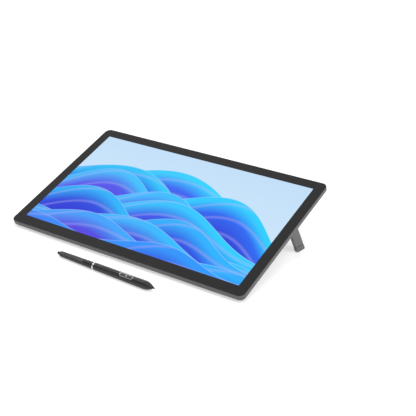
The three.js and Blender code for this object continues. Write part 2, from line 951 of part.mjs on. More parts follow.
const buttonPairLength = 2 * penButtonLength + penFrameWidth;
const frameLength = buttonPairLength + 2 * penFrameWidth + 4 * gap;
const frameWidth = penButtonWidth + 2 * penFrameWidth + 2 * gap;
const gripEnvelope = (out) =>
  solid(turned([[gripStart, 0], ...gripLine(out), [noseEnd, 0]]));
const penPrism = (length, across, low, high) =>
  solid(pill(length, across, high - low).translate(penButtonsCentre, 0, (low + high) / 2));

// One button cell: half of the pill, on one side of the divider.
function buttonCell(hand, margin) {
  const whole = penPrism(
    buttonPairLength + 2 * gap + 2 * margin,
    penButtonWidth + 2 * margin,
    penButtonFloor,
    gripRadius + 4,
  );
  const start = hand * (penFrameWidth / 2 + gap - margin);
  const end = hand * (buttonPairLength / 2 + 4);
  const half = box(
    penButtonsCentre + Math.min(start, end),
    penButtonsCentre + Math.max(start, end),
    -penButtonWidth,
    penButtonWidth,
    0,
    gripRadius + 5,
  );
  return whole.intersect(solid(half));
}

function penGrip() {
  const bore = solid(
    turned([
      [gripStart - 1, 0],
      [gripStart - 1, gripRearRadius - penWall],
      [shoulderAt, gripRadius - penWall],
      [shoulderAt + 8, gripRadius - 2.6],
      [noseEnd - 6, noseRadius - 0.6],
      [noseEnd + 1, noseRadius - 0.6],
      [noseEnd + 1, 0],
    ]),
  );
  const slot = penPrism(
    frameLength + 2 * gap,
    frameWidth + 2 * gap,
    penButtonFloor - 1,
    gripRadius + 4,
  );
  const grip = gripEnvelope(0).subtract(bore).subtract(slot);
  piece(penFace, "pen_grip", grip, materials.pen);

  const frame = penPrism(frameLength, frameWidth, penButtonFloor + 1, gripRadius + 3)
    .intersect(gripEnvelope(penFrameProud))
    .subtract(buttonCell(-1, gap))
    .subtract(buttonCell(1, gap));
  piece(penFace, "pen_button_frame", frame, materials.silver);
  for (const [hand, label] of [
    [-1, "rear"],
    [1, "front"],
  ]) {
    const button = buttonCell(hand, 0).intersect(gripEnvelope(penButtonProud));
    piece(penFace, "pen_button_" + label, button, materials.pen);
  }
}

function penBarrel() {
  const end = ringStart - gap;
  const rear = barrelStart + 3.3;
  const shell = solid(
    turned([
      [barrelStart, eraserRadius + gap],
      [barrelStart, barrelRearRadius - 1.1],
      [rear, barrelRearRadius],
      [end, barrelFrontRadius],
      [end, barrelFrontRadius - penWall],
      [rear + 6, barrelRearRadius - penWall],
      [rear + 6, eraserRadius + gap],
      [barrelStart, eraserRadius + gap],
    ]),
  );
  // A flat along the rear of the barrel that ends in a small step.
  const flatAt = barrelRearRadius - flatDepth;
  const reach = 20;
  const rise = (barrelFrontRadius - barrelRearRadius) / (end - rear);
  const slab = solid(
    box(-1, flatLength + barrelStart, -reach, reach, 0, reach)
      .rotateY(-Math.atan(rise))
      .translate(0, 0, flatAt),
  );
  piece(penFace, "pen_barrel", shell.subtract(slab), materials.pen);

  const ring = tube(
    ringStart,
    ringStart + ringLength,
    gripRearRadius,
    barrelFrontRadius - penWall,
  );
  piece(pen, "pen_ring", ring, materials.silver);
}

function penEnds() {
  const stem = eraserRadius - 1;
  const eraser = turned([
    [0, 0],
    [0, eraserRadius - 0.9],
    [0.9, eraserRadius],
    [eraserLength + 6, eraserRadius],
    [eraserLength + 6, stem],
    [eraserLength + 12, stem],
    [eraserLength + 12, 0],
  ]);
  piece(pen, "pen_eraser", eraser, materials.nib);
  const switchStart = eraserLength + 12 + eraserTravel + gap;
  piece(
    pen,
    "pen_eraser_switch",
    turned([
      [switchStart, 0],
      [switchStart, stem],
      [switchStart + 5, stem],
      [switchStart + 5, 0],
    ]),
    materials.ferrite,
  );

  const clampEnd = shoulderAt - 12;
  const nib = turned([
    [clampEnd - 6, 0],
    [clampEnd - 6, nibShankRadius],
    [noseEnd - 2, nibShankRadius],
    [noseEnd - 0.6, nibRadius],
    [noseEnd + 1, nibRadius],
    [penLength - 0.5, nibRadius * 0.45],
    [penLength, 0],
  ]);
  piece(pen, "pen_nib", nib, materials.nib);
  piece(
    pen,
    "pen_nib_clamp",
    tube(clampEnd - 7, clampEnd, 2.2, nibShankRadius + gap, 16),
    materials.steel,
  );
  const sensorEnd = clampEnd - 7 - nibTravel - gap;
  piece(
    pen,
    "pen_pressure_sensor",
    turned([
      [sensorEnd - 5, 0],
      [sensorEnd - 5, 2.6],
      [sensorEnd, 2.6],
      [sensorEnd, 0],
    ]),
    materials.ferrite,
  );
  const coreStart = clampEnd + gap;
  const coreEnd = shoulderAt + 4;
  piece(pen, "pen_ferrite_core", tube(coreStart, coreEnd, 2.2, 1.3, 16), materials.ferrite);
  piece(pen, "pen_coil", tube(coreStart + 2, coreEnd - 2, 3.8, 2.2 + gap, 16), materials.copper);
}

function penElectronics() {
  const boardTop = 0.2;
  const boardStart = ringStart + 8;
  const boardEnd = shoulderAt - 26;
  piece(
    penFace,
    "pen_board",
    box(boardStart, boardEnd, -3.2, 3.2, boardTop - 0.8, boardTop),
    materials.board,
  );
  for (const [hand, label] of [
    [-1, "rear"],
    [1, "front"],
  ]) {
    const x = penButtonsCentre + (hand * buttonPairLength) / 4;
    const high = penButtonFloor - buttonTravel - gap;
    const end = Math.min(x + 2, boardEnd - gap);
    piece(
      penFace,
      "pen_switch_" + label,
      box(end - 4, end, -1.8, 1.8, boardTop + gap, high),
      materials.steel,
    );
  }
}

// ---- Assembly -----------------------------------------------------------------------------------

screenStack();
rimFrame();
backShell();
backScrews();
chassis();
electronics();
rearPorts();
bayPorts();
for (const [hand, label] of [
  [-1, "left"],
  [1, "right"],
]) {
  leg(hand, label);
  hinge(hand, label);
}
feet();
penGrip();
penBarrel();
penEnds();
penElectronics();

// Centre the whole on its footprint, standing on z = 0.
const bounds = new THREE.Box3().setFromObject(root, true);
root.position.set(
  -(bounds.min.x + bounds.max.x) / 2,
  -(bounds.min.y + bounds.max.y) / 2,
  -bounds.min.z,
);

export default root;
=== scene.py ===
"""The finished look of a pen drawing tablet on two fold-out legs, with its pen lying in front of it.

Every piece is drawn square to its own frame, at its real size in metres, and then settled where the
CAD frame says: the tablet leans back, each leg splays from its hinge, and the pen lies on the table.
"""

import json
import math

import bpy
from mathutils import Matrix, Vector


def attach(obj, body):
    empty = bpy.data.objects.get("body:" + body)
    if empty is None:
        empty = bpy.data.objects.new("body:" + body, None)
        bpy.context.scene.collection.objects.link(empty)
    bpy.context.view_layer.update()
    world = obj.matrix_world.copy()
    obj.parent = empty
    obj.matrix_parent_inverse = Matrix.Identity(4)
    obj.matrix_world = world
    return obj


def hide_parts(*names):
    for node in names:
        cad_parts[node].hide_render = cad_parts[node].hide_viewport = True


bl_info = {
    "name": "Pen Drawing Tablet",
    "version": (1, 0, 0),
    "blender": (4, 5, 0),
    "location": "View3D > Sidebar > Tablet",
    "description": "Models a pen drawing tablet, its legs and its pen around their CAD frame",
    "category": "Add Mesh",
}

MM = 0.001
GAP = 0.3 * MM  # Between pieces that sit side by side
PAST = 1 * MM  # How far a cutter reaches beyond what it cuts
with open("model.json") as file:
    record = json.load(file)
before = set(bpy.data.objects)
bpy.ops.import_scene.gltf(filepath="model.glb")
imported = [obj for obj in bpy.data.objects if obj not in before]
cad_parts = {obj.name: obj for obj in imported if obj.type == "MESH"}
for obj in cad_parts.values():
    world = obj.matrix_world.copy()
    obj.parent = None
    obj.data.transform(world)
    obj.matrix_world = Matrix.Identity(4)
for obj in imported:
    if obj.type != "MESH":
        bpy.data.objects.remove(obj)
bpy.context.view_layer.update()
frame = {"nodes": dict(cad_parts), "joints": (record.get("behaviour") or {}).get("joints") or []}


# ---- The frames that pieces are drawn in ---------------------------------------------------------


def joint(name):
    """One of the frame's joints."""
    return next(j for j in frame["joints"] if j["name"] == name)


def local_box(node, stand):
    """A CAD node's lowest and highest corner in the frame that a matrix sets up."""
    back = stand.inverted()
    points = [back @ v.co for v in frame["nodes"][node].data.vertices]
    low = Vector([min(p[axis] for p in points) for axis in range(3)])
    high = Vector([max(p[axis] for p in points) for axis in range(3)])
    return low, high


def middle_of(node):
    """Middle of a CAD node's box, in the tablet's frame."""
    low, high = local_box(node, TABLET)
    return (low + high) / 2


HINGE_AXIS = Vector(joint("leg_right_fold")["axis"])
TILT = math.atan2(HINGE_AXIS.z, HINGE_AXIS.y)
TABLET = Matrix.Rotation(TILT, 4, "X")

PEN_AXIS = Vector(joint("pen_eraser_press")["axis"])
PEN_FACE = -Vector(joint("pen_button_front_press")["axis"])
PEN_LAY = Matrix((PEN_AXIS, PEN_FACE.cross(PEN_AXIS), PEN_FACE)).transposed().to_4x4()
PEN_ENDS = local_box("pen_eraser", PEN_LAY)
PEN_ACROSS = (PEN_ENDS[0] + PEN_ENDS[1]) / 2
PEN = PEN_LAY @ Matrix.Translation((PEN_ENDS[0].x, PEN_ACROSS.y, PEN_ACROSS.z))

RIM_LOW, RIM_HIGH = local_box("rim_frame", TABLET)
SHELL_LOW, SHELL_HIGH = local_box("back_shell", TABLET)
GLASS_TOP = RIM_HIGH.z
GRIP_LOW, GRIP_HIGH = local_box("pen_grip", PEN)
PEN_BARREL_LOW, PEN_BARREL_HIGH = local_box("pen_barrel", PEN)


def leg_stand(hand):
    """A leg's own frame: its hinge along Y, the leg hanging down -Z, its outward side towards +X."""
    side = "right" if hand > 0 else "left"
    hinge = Matrix.Translation(joint(f"leg_{side}_fold")["pos_m"])
    turn = Matrix.Rotation(0 if hand > 0 else math.pi, 4, "Z")
    return hinge @ TABLET @ Matrix.Rotation(-hand * settings_of("legs").splay, 4, "Y") @ turn


# ---- Modelling helpers ---------------------------------------------------------------------------


def pick(*pieces):
    """Leaves edit mode and selects these objects alone, the last one active."""
    if bpy.context.object and bpy.context.object.mode != "OBJECT":
        bpy.ops.object.mode_set(mode="OBJECT")
    bpy.ops.object.select_all(action="DESELECT")
    for piece in pieces:
        piece.select_set(True)
        bpy.context.view_layer.objects.active = piece


def named(name):
    """The primitive just added, under its name."""
    piece = bpy.context.object
    piece.name = name
    piece.data.name = name
    return piece


def settle(piece, stand=Matrix.Identity(4)):
    """Moves a piece from its own frame into place, and bakes the place into its mesh."""
    pick(piece)
    piece.matrix_world = stand @ piece.matrix_world
    bpy.ops.object.transform_apply(location=True, rotation=True, scale=True)
    return piece


def select_mesh(piece, kind, wanted):
    """Selects in edit mode the faces or edges that pass a test, and nothing else."""
    pick(piece)
    mesh = piece.data
    for items in (mesh.vertices, mesh.edges, mesh.polygons):
        items.foreach_set("select", [False] * len(items))
    if kind == "FACE":
        for face in mesh.polygons:
            face.select = wanted(face.center, face.normal)
    else:
        for edge in mesh.edges:
            start, end = (mesh.vertices[i].co for i in edge.vertices)
            edge.select = wanted(start, end)
    bpy.context.tool_settings.mesh_select_mode = (False, kind == "EDGE", kind == "FACE")
    bpy.ops.object.mode_set(mode="EDIT")


def edit_all(piece):
    """Opens a piece for editing, with all of its mesh selected."""
    pick(piece)
    bpy.ops.object.mode_set(mode="EDIT")
    bpy.ops.mesh.select_all(action="SELECT")


def tidy_normals(piece):
    """Merges doubled points and turns every face outwards."""
    edit_all(piece)
    bpy.ops.mesh.remove_doubles(threshold=1e-6)
    bpy.ops.mesh.normals_make_consistent(inside=False)
    bpy.ops.object.mode_set(mode="OBJECT")
    return piece


def slab(name, low, high, radius, steps=8):
    """A block between two corners, its upright edges rounded."""
    low, high = Vector(low), Vector(high)
    middle = (low + high) / 2
    bpy.ops.object.select_all(action="DESELECT")
    bpy.ops.mesh.primitive_plane_add(size=1, location=(middle.x, middle.y, low.z))
    piece = named(name)
    piece.scale = (high.x - low.x, high.y - low.y, 1)
    edit_all(settle(piece))
    if radius:
        bpy.ops.mesh.bevel(offset=radius, affect="VERTICES", segments=steps)
    bpy.ops.mesh.select_all(action="SELECT")
    bpy.ops.mesh.extrude_region_move(TRANSFORM_OT_translate={"value": (0, 0, high.z - low.z)})
    return tidy_normals(piece)


def pill(name, centre, length, height, thickness, steps=8):
    """A slab with round ends, its long way along X."""
    half = Vector((length, height, thickness)) / 2
    centre = Vector(centre)
    return slab(name, centre - half, centre + half, height / 2 - 1e-5, steps)


def rear_pill(name, x, z, length, height, front, rear):
    """The same, standing in the rear wall and reaching through it."""
    piece = pill(name, (0, 0, 0), length, height, rear - front)
    stand = Matrix.Translation((x, (front + rear) / 2, z)) @ Matrix.Rotation(math.pi / 2, 4, "X")
    return settle(piece, stand)


def turned(name, stations, steps=48):
    """A solid of revolution about X, through (along, radius) stations."""
    bpy.ops.object.select_all(action="DESELECT")
    along, radius = stations[0]
    bpy.ops.mesh.primitive_circle_add(
        vertices=steps,
        radius=radius,
        fill_type="NGON",
        location=(along, 0, 0),
        rotation=(0, math.pi / 2, 0),
    )
    piece = named(name)
    edit_all(settle(piece))
    for (start, before), (end, after) in zip(stations, stations[1:]):
        bpy.ops.mesh.extrude_region_move(TRANSFORM_OT_translate={"value": (end - start, 0, 0)})
        ratio = after / before
        bpy.ops.transform.resize(value=(1, ratio, ratio), center_override=(end, 0, 0))
    return tidy_normals(piece)


def rod(name, radius, length, steps, place=(0, 0, 0), turn=(0, 0, 0), stand=Matrix.Identity(4)):
    """A plain cylinder, upright unless it is turned."""
    bpy.ops.object.select_all(action="DESELECT")
    bpy.ops.mesh.primitive_cylinder_add(
        vertices=steps, radius=radius, depth=length, location=place, rotation=turn
    )
    return settle(named(name), stand)


def modify(piece, kind, **settings):
    """Gives a piece a modifier with these settings, and applies it."""
    modifier = piece.modifiers.new(kind.title(), kind)
    for key, value in settings.items():
        setattr(modifier, key, value)
    pick(piece)
    bpy.ops.object.modifier_apply(modifier=modifier.name)


def boolean(piece, operation, *tools):
    """Cuts, joins or crosses a piece with tools, which are used up."""
    for tool in tools:
        modify(piece, "BOOLEAN", operation=operation, object=tool, solver="EXACT")
        bpy.data.objects.remove(tool)
    return piece


def cut(piece, *tools):
    return boolean(piece, "DIFFERENCE", *tools)


def join(piece, *tools):
    return boolean(piece, "UNION", *tools)


def soften(piece, radius, steps=2, degrees=35):
    """Rounds every edge that turns by more than an angle."""
    limit = math.radians(degrees)
    modify(piece, "BEVEL", width=radius, segments=steps, limit_method="ANGLE", angle_limit=limit)
    return piece


def keep_above(piece, height, below=False):
    """Cuts a settled piece level with the table, and closes the cut."""
    edit_all(piece)
    bpy.ops.mesh.bisect(
        plane_co=(0, 0, height),
        plane_no=(0, 0, 1),
        use_fill=True,
        clear_inner=not below,
        clear_outer=below,
    )
    return tidy_normals(piece)


def copy_of(piece, name, move):
    """A copy with a mesh of its own, moved by a vector."""
    twin = piece.copy()
    twin.data = piece.data.copy()
    twin.name = name
    twin.data.name = name
    bpy.context.scene.collection.objects.link(twin)
    twin.location = twin.location + Vector(move)
    return settle(twin)


def place_copies(first, names, slot, material):
    """Stands a turned piece on end, copies it to each CAD node under a name, and takes it away."""
    settle(first, Matrix.Rotation(-math.pi / 2, 4, "Y"))
    for node, name in names.items():
        middle = middle_of(node)
        piece = copy_of(first, name, (middle.x, middle.y, local_box(node, TABLET)[0].z))
        hand_over(settle(piece, TABLET), "tablet", slot, material, node)
    bpy.data.objects.remove(first)


def hand_over(piece, body, slot, material, *nodes, smooth=35):
    """Gives a finished piece its shading, finish, body and the CAD nodes that it stands for."""
    pick(piece)
    bpy.ops.object.shade_smooth_by_angle(angle=math.radians(smooth))
    modify(piece, "WEIGHTED_NORMAL", keep_sharp=True)
    if material:
        piece.data.materials.clear()
        piece.data.materials.append(material)
    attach(piece, body)
    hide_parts(*nodes)
    return piece


def dress(material, *nodes):
    """Gives CAD nodes that stay a better finish."""
    for node in nodes:
        for held in frame["nodes"][node].material_slots:
            held.link = "OBJECT"
            held.material = material


# ---- Materials -----------------------------------------------------------------------------------


class Finish:
    """A material under construction: its nodes, and short ways to add more."""

    def __init__(self, name, colour, roughness, metallic=0.0):
        self.colour = colour
        self.roughness = roughness
        self.material = bpy.data.materials.new(name)
        self.material.use_nodes = True
        self.tree = self.material.node_tree
        self.shader = self.tree.nodes["Principled BSDF"]
        self.give("Base Color", (*colour, 1))
        self.give("Roughness", roughness)
        self.give("Metallic", metallic)
        self.place = self.add("ShaderNodeTexCoord").outputs["Object"]

    def add(self, kind, **settings):
        node = self.tree.nodes.new(kind)
        for key, value in settings.items():
            setattr(node, key, value)
        return node

    def feed(self, socket, value):
        """Links a socket to an output, or sets it to a plain value."""
        if hasattr(value, "is_output"):
            self.tree.links.new(value, socket)
        else:
            socket.default_value = value

    def give(self, name, value):
        """The same, for one of the shader's own sockets."""
        self.feed(self.shader.inputs[name], value)

    def calc(self, operation, *values, clamp=False):
        """A Math node over values and outputs."""
        node = self.add("ShaderNodeMath", operation=operation, use_clamp=clamp)
        for socket, value in zip(node.inputs, values):
            self.feed(socket, value)
        return node.outputs[0]

    def noise(self, size, detail=2.0, stretch=(1, 1, 1), turn=(0, 0, 0)):
        """Noise whose grains are about size metres across, drawn out along an axis by stretch."""
        mapping = self.add("ShaderNodeMapping")
        self.feed(mapping.inputs["Vector"], self.place)
        mapping.inputs["Rotation"].default_value = turn
        mapping.inputs["Scale"].default_value = stretch
        node = self.add("ShaderNodeTexNoise")
        self.feed(node.inputs["Vector"], mapping.outputs[0])
        node.inputs["Scale"].default_value = 1 / size
        node.inputs["Detail"].default_value = detail
        return node.outputs["Fac"]

    def between(self, factor, low, high):
        """A value that runs from low to high as the factor runs from 0.3 to 0.7."""
        node = self.add("ShaderNodeMapRange")
        self.feed(node.inputs["Value"], factor)
        node.inputs["From Min"].default_value = 0.3
        node.inputs["From Max"].default_value = 0.7
        node.inputs["To Min"].default_value = low
        node.inputs["To Max"].default_value = high
        return node.outputs[0]

    def tint(self, factor, first, second):
        """A mix of two colours."""
        node = self.add("ShaderNodeMix", data_type="RGBA")
        self.feed(node.inputs["Factor"], factor)
        for socket, colour in ((node.inputs[6], first), (node.inputs[7], second)):
            self.feed(socket, colour if hasattr(colour, "is_output") else (*colour, 1))
        return node.outputs[2]

    def vary(self, pattern, darker, lighter, grain, smoother, rougher):
        """Lets the colour drift by shares with one pattern, and the roughness by amounts with another."""
        self.give("Base Color", self.tint(pattern, shade(self.colour, darker), shade(self.colour, lighter)))
        rough = self.between(grain, self.roughness + smoother, self.roughness + rougher)
        self.give("Roughness", rough)

    def bump(self, height, depth):
        """Relief of a depth in metres."""
        node = self.add("ShaderNodeBump")
        self.feed(node.inputs["Height"], height)
        node.inputs["Distance"].default_value = depth
        self.give("Normal", node.outputs[0])


def shade(colour, by):
    """A colour made lighter or darker."""
    return tuple(min(channel * by, 1) for channel in colour)


def blasted_metal(name, colour, roughness=0.42):
    """Anodised aluminium with a fine blasted grain."""
    finish = Finish(name, colour, roughness, metallic=0.75)
    fine = finish.noise(0.35 * MM, detail=3)
    finish.vary(finish.noise(40 * MM), 0.93, 1.07, fine, -0.06, 0.08)
    finish.bump(fine, 0.02 * MM)
    return finish.material


def textured_paint(name, colour):
    """Matt paint with a fine orange-peel texture."""
    finish = Finish(name, colour, 0.5, metallic=0.25)
    peel = finish.noise(0.5 * MM)
    finish.vary(finish.noise(60 * MM), 0.92, 1.1, peel, -0.08, 0.1)
    finish.bump(peel, 0.04 * MM)
    return finish.material


def rubber_like(name, colour, roughness, grain=0.25 * MM):
    """Dull moulded rubber or plastic, slightly uneven."""
    finish = Finish(name, colour, roughness)
    fine = finish.noise(grain)
    finish.vary(finish.noise(8 * MM), 0.85, 1.2, fine, -0.1, 0.08)
    finish.bump(fine, 0.03 * MM)
    return finish.material


def soft_touch(name, colour, roughness=0.4):
    """The pen's satin plastic, with a moulding grain and faint handling marks."""
    finish = Finish(name, colour, roughness)
    fine = finish.noise(0.2 * MM, detail=3)
    marks = finish.noise(12 * MM, stretch=(0.4, 1, 1))
    finish.vary(marks, 0.85, 1.2, marks, -0.07, 0.07)
    finish.bump(fine, 0.012 * MM)
    finish.give("Specular IOR Level", 0.4)
    return finish.material


def brushed_metal(name, colour, roughness, lines=(0.05, 1, 1)):
    """Bright metal with fine brushed lines."""
    finish = Finish(name, colour, roughness, metallic=1.0)
    strokes = finish.noise(0.25 * MM, detail=3, stretch=lines)
    finish.vary(strokes, 0.85, 1.12, strokes, -0.08, 0.12)
    finish.bump(strokes, 0.01 * MM)
    return finish.material


def printed_glass(colour, roughness):
    """The glass border: glossy, with a dark print under it and a trace of handling."""
    finish = Finish("bezel_glass", colour, roughness)
    smears = finish.noise(35 * MM, detail=3, stretch=(1, 2.2, 2.2), turn=(0, 0, 0.5))
    finish.vary(finish.noise(1.2 * MM), 0.96, 1.04, smears, 0, 0.06)
    finish.give("Specular IOR Level", 0.4)
    return finish.material


def circuit_board(name, colour):
    """Solder mask with faint copper tracks under it."""
    finish = Finish(name, colour, 0.4)
    grid = finish.add("ShaderNodeTexBrick")
    finish.feed(grid.inputs["Vector"], finish.place)
    grid.inputs["Scale"].default_value = 160
    grid.inputs["Mortar Size"].default_value = 0.03
    tracks = grid.outputs["Fac"]
    finish.give("Base Color", finish.tint(tracks, colour, shade(colour, 2.2)))
    finish.bump(tracks, 0.03 * MM)
    return finish.material


def layered_waves(settings):
    """The picture on the screen: soft layered waves over a pale sky, drawn across the lit area."""
    finish = Finish("lit_screen", (0.01, 0.01, 0.012), 0.22)
    low, high = active_area()
    corner = TABLET @ Vector((low.x, low.y, GLASS_TOP))
    flat = finish.add("ShaderNodeMapping", vector_type="TEXTURE")
    finish.feed(flat.inputs["Vector"], finish.place)
    flat.inputs["Location"].default_value = corner
    flat.inputs["Rotation"].default_value = (TILT, 0, 0)
    flat.inputs["Scale"].default_value = (high.x - low.x, high.x - low.x, 1)
    split = finish.add("ShaderNodeSeparateXYZ")
    finish.feed(split.inputs[0], flat.outputs[0])
    across, up = split.outputs["X"], split.outputs["Y"]

    height = finish.calc("MULTIPLY", up, (high.x - low.x) / (high.y - low.y), clamp=True)
    picture = finish.tint(height, settings.sky_low, settings.sky_high)
    for layer in range(settings.wave_count):
        picture = wave(finish, settings, layer, across, up, picture)
    finish.give("Emission Color", picture)
    finish.give("Emission Strength", settings.brightness)
    finish.give("Specular IOR Level", 0.35)
    return finish.material


def mixed(first, last, part):
    """A colour part of the way from one to another."""
    return [a + (b - a) * part for a, b in zip(first, last)]


def wave(finish, settings, layer, across, up, behind):
    """One wave of the picture, in front of those before it: a broad hill with a swell along it."""
    calc = finish.calc
    depth = layer / max(settings.wave_count - 1, 1)
    variety = (0.15 + layer * 0.382) % 1
    centre = 0.43 + 0.26 * math.sin(2.4 * layer + 3)
    half = settings.wave_width - 0.08 * variety
    shifted = calc("MULTIPLY_ADD", across, 1 / half, -centre / half)
    fall = calc("MULTIPLY", shifted, shifted)
    hill = calc("EXPONENT", calc("MULTIPLY", fall, -1))
    swell = calc("SINE", calc("MULTIPLY_ADD", across, 7.5 + 3 * variety, 1.9 * layer + 1))
    top = settings.wave_top * (1 - 0.9 * depth)
    swing = settings.wave_swing * (1 - 0.3 * depth)
    rise = calc("MULTIPLY_ADD", hill, 0.75 * top, 0.25 * top)
    below = calc("SUBTRACT", calc("MULTIPLY_ADD", swell, swing, rise), up)

    bright = mixed(settings.wave_crest, settings.wave_blue, 0.75 * depth * (0.4 + 0.6 * variety))
    middle = mixed(settings.wave_blue, settings.wave_deep, 0.15 + 0.6 * depth)
    fade = calc("MULTIPLY", below, 4.6, clamp=True)
    ramp = finish.add("ShaderNodeValToRGB")
    finish.feed(ramp.inputs[0], fade)
    stops = ramp.color_ramp.elements
    stops[0].color = (*mixed(bright, settings.sky_low, 0.7), 1)
    stops[1].color = (*settings.wave_deep, 1)
    for position, shade_of in ((0.02, bright), (0.12, bright), (0.45, middle)):
        stops.new(position).color = (*shade_of, 1)

    leftward = calc("MULTIPLY_ADD", across, -1.1, 0.9, clamp=True)
    foot = calc("MULTIPLY", leftward, calc("MULTIPLY_ADD", fade, 0.75, 0.25))
    violet = mixed(settings.wave_deep, settings.wave_violet, 0.5 + 0.5 * math.sin(5 * layer))
    body = finish.tint(foot, ramp.outputs[0], violet)
    bend = calc("MULTIPLY_ADD", across, 5 + 6 * variety, layer)
    folds = calc("ABSOLUTE", calc("SINE", calc("MULTIPLY_ADD", below, 38, bend)))
    fold = calc("MULTIPLY", calc("POWER", folds, 26), settings.wave_fold)
    lined = finish.tint(fold, body, mixed(settings.wave_violet, settings.sky_low, 0.5))
    return finish.tint(calc("MULTIPLY", below, 500, clamp=True), behind, lined)


# ---- Settings ------------------------------------------------------------------------------------


def length_setting(description, millimetres):
    """A length setting, given in millimetres."""
    return bpy.props.FloatProperty(
        description=description, default=millimetres * MM, min=0, unit="LENGTH", precision=5
    )


def angle_setting(description, degrees):
    return bpy.props.FloatProperty(
        description=description, default=math.radians(degrees), subtype="ANGLE"
    )


def colour_setting(description, red, green, blue):
    return bpy.props.FloatVectorProperty(
        description=description, default=(red, green, blue), size=3, min=0, subtype="COLOR"
    )


def share_setting(description, value):
    return bpy.props.FloatProperty(description=description, default=value, min=0)


class ScreenSettings(bpy.types.PropertyGroup):
    """The glass and what it shows."""

    border: length_setting("Display panel beyond the lit area", 2.5)
    glass_edge: length_setting("Rounding of the glass's edge", 0.25)
    glass_colour: colour_setting("Print under the glass border", 0.01, 0.01, 0.0105)
    glass_roughness: share_setting("Roughness of the glass border", 0.18)
    sky_low: colour_setting("Palest part of the picture's sky", 0.6, 0.79, 0.945)
    sky_high: colour_setting("Bluer part of the picture's sky", 0.515, 0.71, 0.91)
    wave_crest: colour_setting("Colour of the furthest waves' crests", 0.002, 0.66, 1)
    wave_blue: colour_setting("Colour of the waves' faces", 0.002, 0.16, 0.95)
    wave_deep: colour_setting("Colour of the waves' feet", 0.003, 0.003, 0.61)
    wave_violet: colour_setting("Colour of the left waves' feet", 0.19, 0.03, 0.76)
    wave_count: bpy.props.IntProperty(description="Waves in the picture", default=11, min=1, max=30)
    wave_top: share_setting("Height of the highest wave, as a share of the width", 0.5)
    wave_width: share_setting("Half the width of the broadest waves, as a share", 0.38)
    wave_swing: share_setting("Height of the swell along a wave, as a share of the width", 0.036)
    wave_fold: share_setting("Strength of the pale folds in a wave", 0.3)
    brightness: share_setting("Strength of the screen's light", 1.0)


class CaseSettings(bpy.types.PropertyGroup):
    """The rim frame and the back."""

    corner: length_setting("Rounding of the outline's corners", 10)
    lip: length_setting("Width of the rim round the glass", 1)
    wall: length_setting("Thickness of the rim's side wall", 3.4)
    shelf: length_setting("Width of the shelf under the glass", 7)
    shelf_thickness: length_setting("Thickness of that shelf", 1.2)
    glass: length_setting("Depth of the glass's seat in the rim", 1.4)
    top_edge: length_setting("Rounding of the rim's top edge", 0.5)
    low_edge: length_setting("Rounding of the two edges of the lower bevel", 0.4)
    bevel_depth: length_setting("Height of the rim's lower bevel", 3.5)
    bevel_inset: length_setting("How far that bevel runs in", 2.2)
    rim_colour: colour_setting("Anodised finish of the rim", 0.112, 0.108, 0.112)
    # Painted shade: a darker copy of the rim's finish, laid on the lower bevel's downward faces where shade
    # falls
    bevel_shade_colour: colour_setting("Darker finish of the rim's lower bevel", 0.062, 0.06, 0.062)
    shell_colour: colour_setting("Paint of the back", 0.07, 0.068, 0.07)
    shell_wall: length_setting("Thickness of the back shell", 2)
    shell_edge: length_setting("Rounding of the back's edges", 0.35)
    flange: length_setting("Thickness of the back's flat edge", 1.8)
    side_margin: length_setting("Outline to the foot of the raised middle, at the sides", 6)
    front_margin: length_setting("The same, at the front", 12)
    rear_margin: length_setting("The same, at the rear", 9)
    side_run: length_setting("How far the flanks run in before the flat", 20)
    front_run: length_setting("The same, at the front", 50)
    rear_run: length_setting("The same, at the rear", 30)
    back_corner: length_setting("Corner radius of the raised middle", 26)
    bay_board_gap: length_setting("Inner wall of the socket bay to its board", 1.9)
    bay_top: length_setting("Rim to the top of the bay", 0.4)
    bay_depth: length_setting("Rim to the floor of the bay", 9.8)
    bay_flare: length_setting("How much further the mouth reaches at each end", 8)
    bay_wall: length_setting("Wall round the bay", 1.6)
    boss: length_setting("Radius of the posts that the screws go into", 4.2)
    well: length_setting("Radius of the well for a screw's head", 3.1)
    well_depth: length_setting("Depth of that well", 1.8)
    screw_hole: length_setting("Radius of the hole through the post", 1.6)
    vent_pitch: length_setting("Middle of one vent slot to the next", 7)
    vent_width: length_setting("Width of a vent slot", 2.4)
    vent_length: length_setting("Length of a vent slot", 16)
    vent_place: length_setting("Front edge to the middle of the vents", 96)
    port_length: length_setting("Length of a port's opening in the rim", 9.5)
    port_height: length_setting("Height of that opening", 3.8)
    key_slot_length: length_setting("Length of the power button's slot", 9.7)
    key_slot_height: length_setting("Height of that slot", 3.5)
    key_length: length_setting("Length of the power button", 9)
    key_height: length_setting("Height of the power button", 2.8)
    key_edge: length_setting("Rounding of its outer edge", 0.35)
    key_flange_length: length_setting("Length of its flange", 10.6)
    key_flange_height: length_setting("Height of its flange", 3.6)


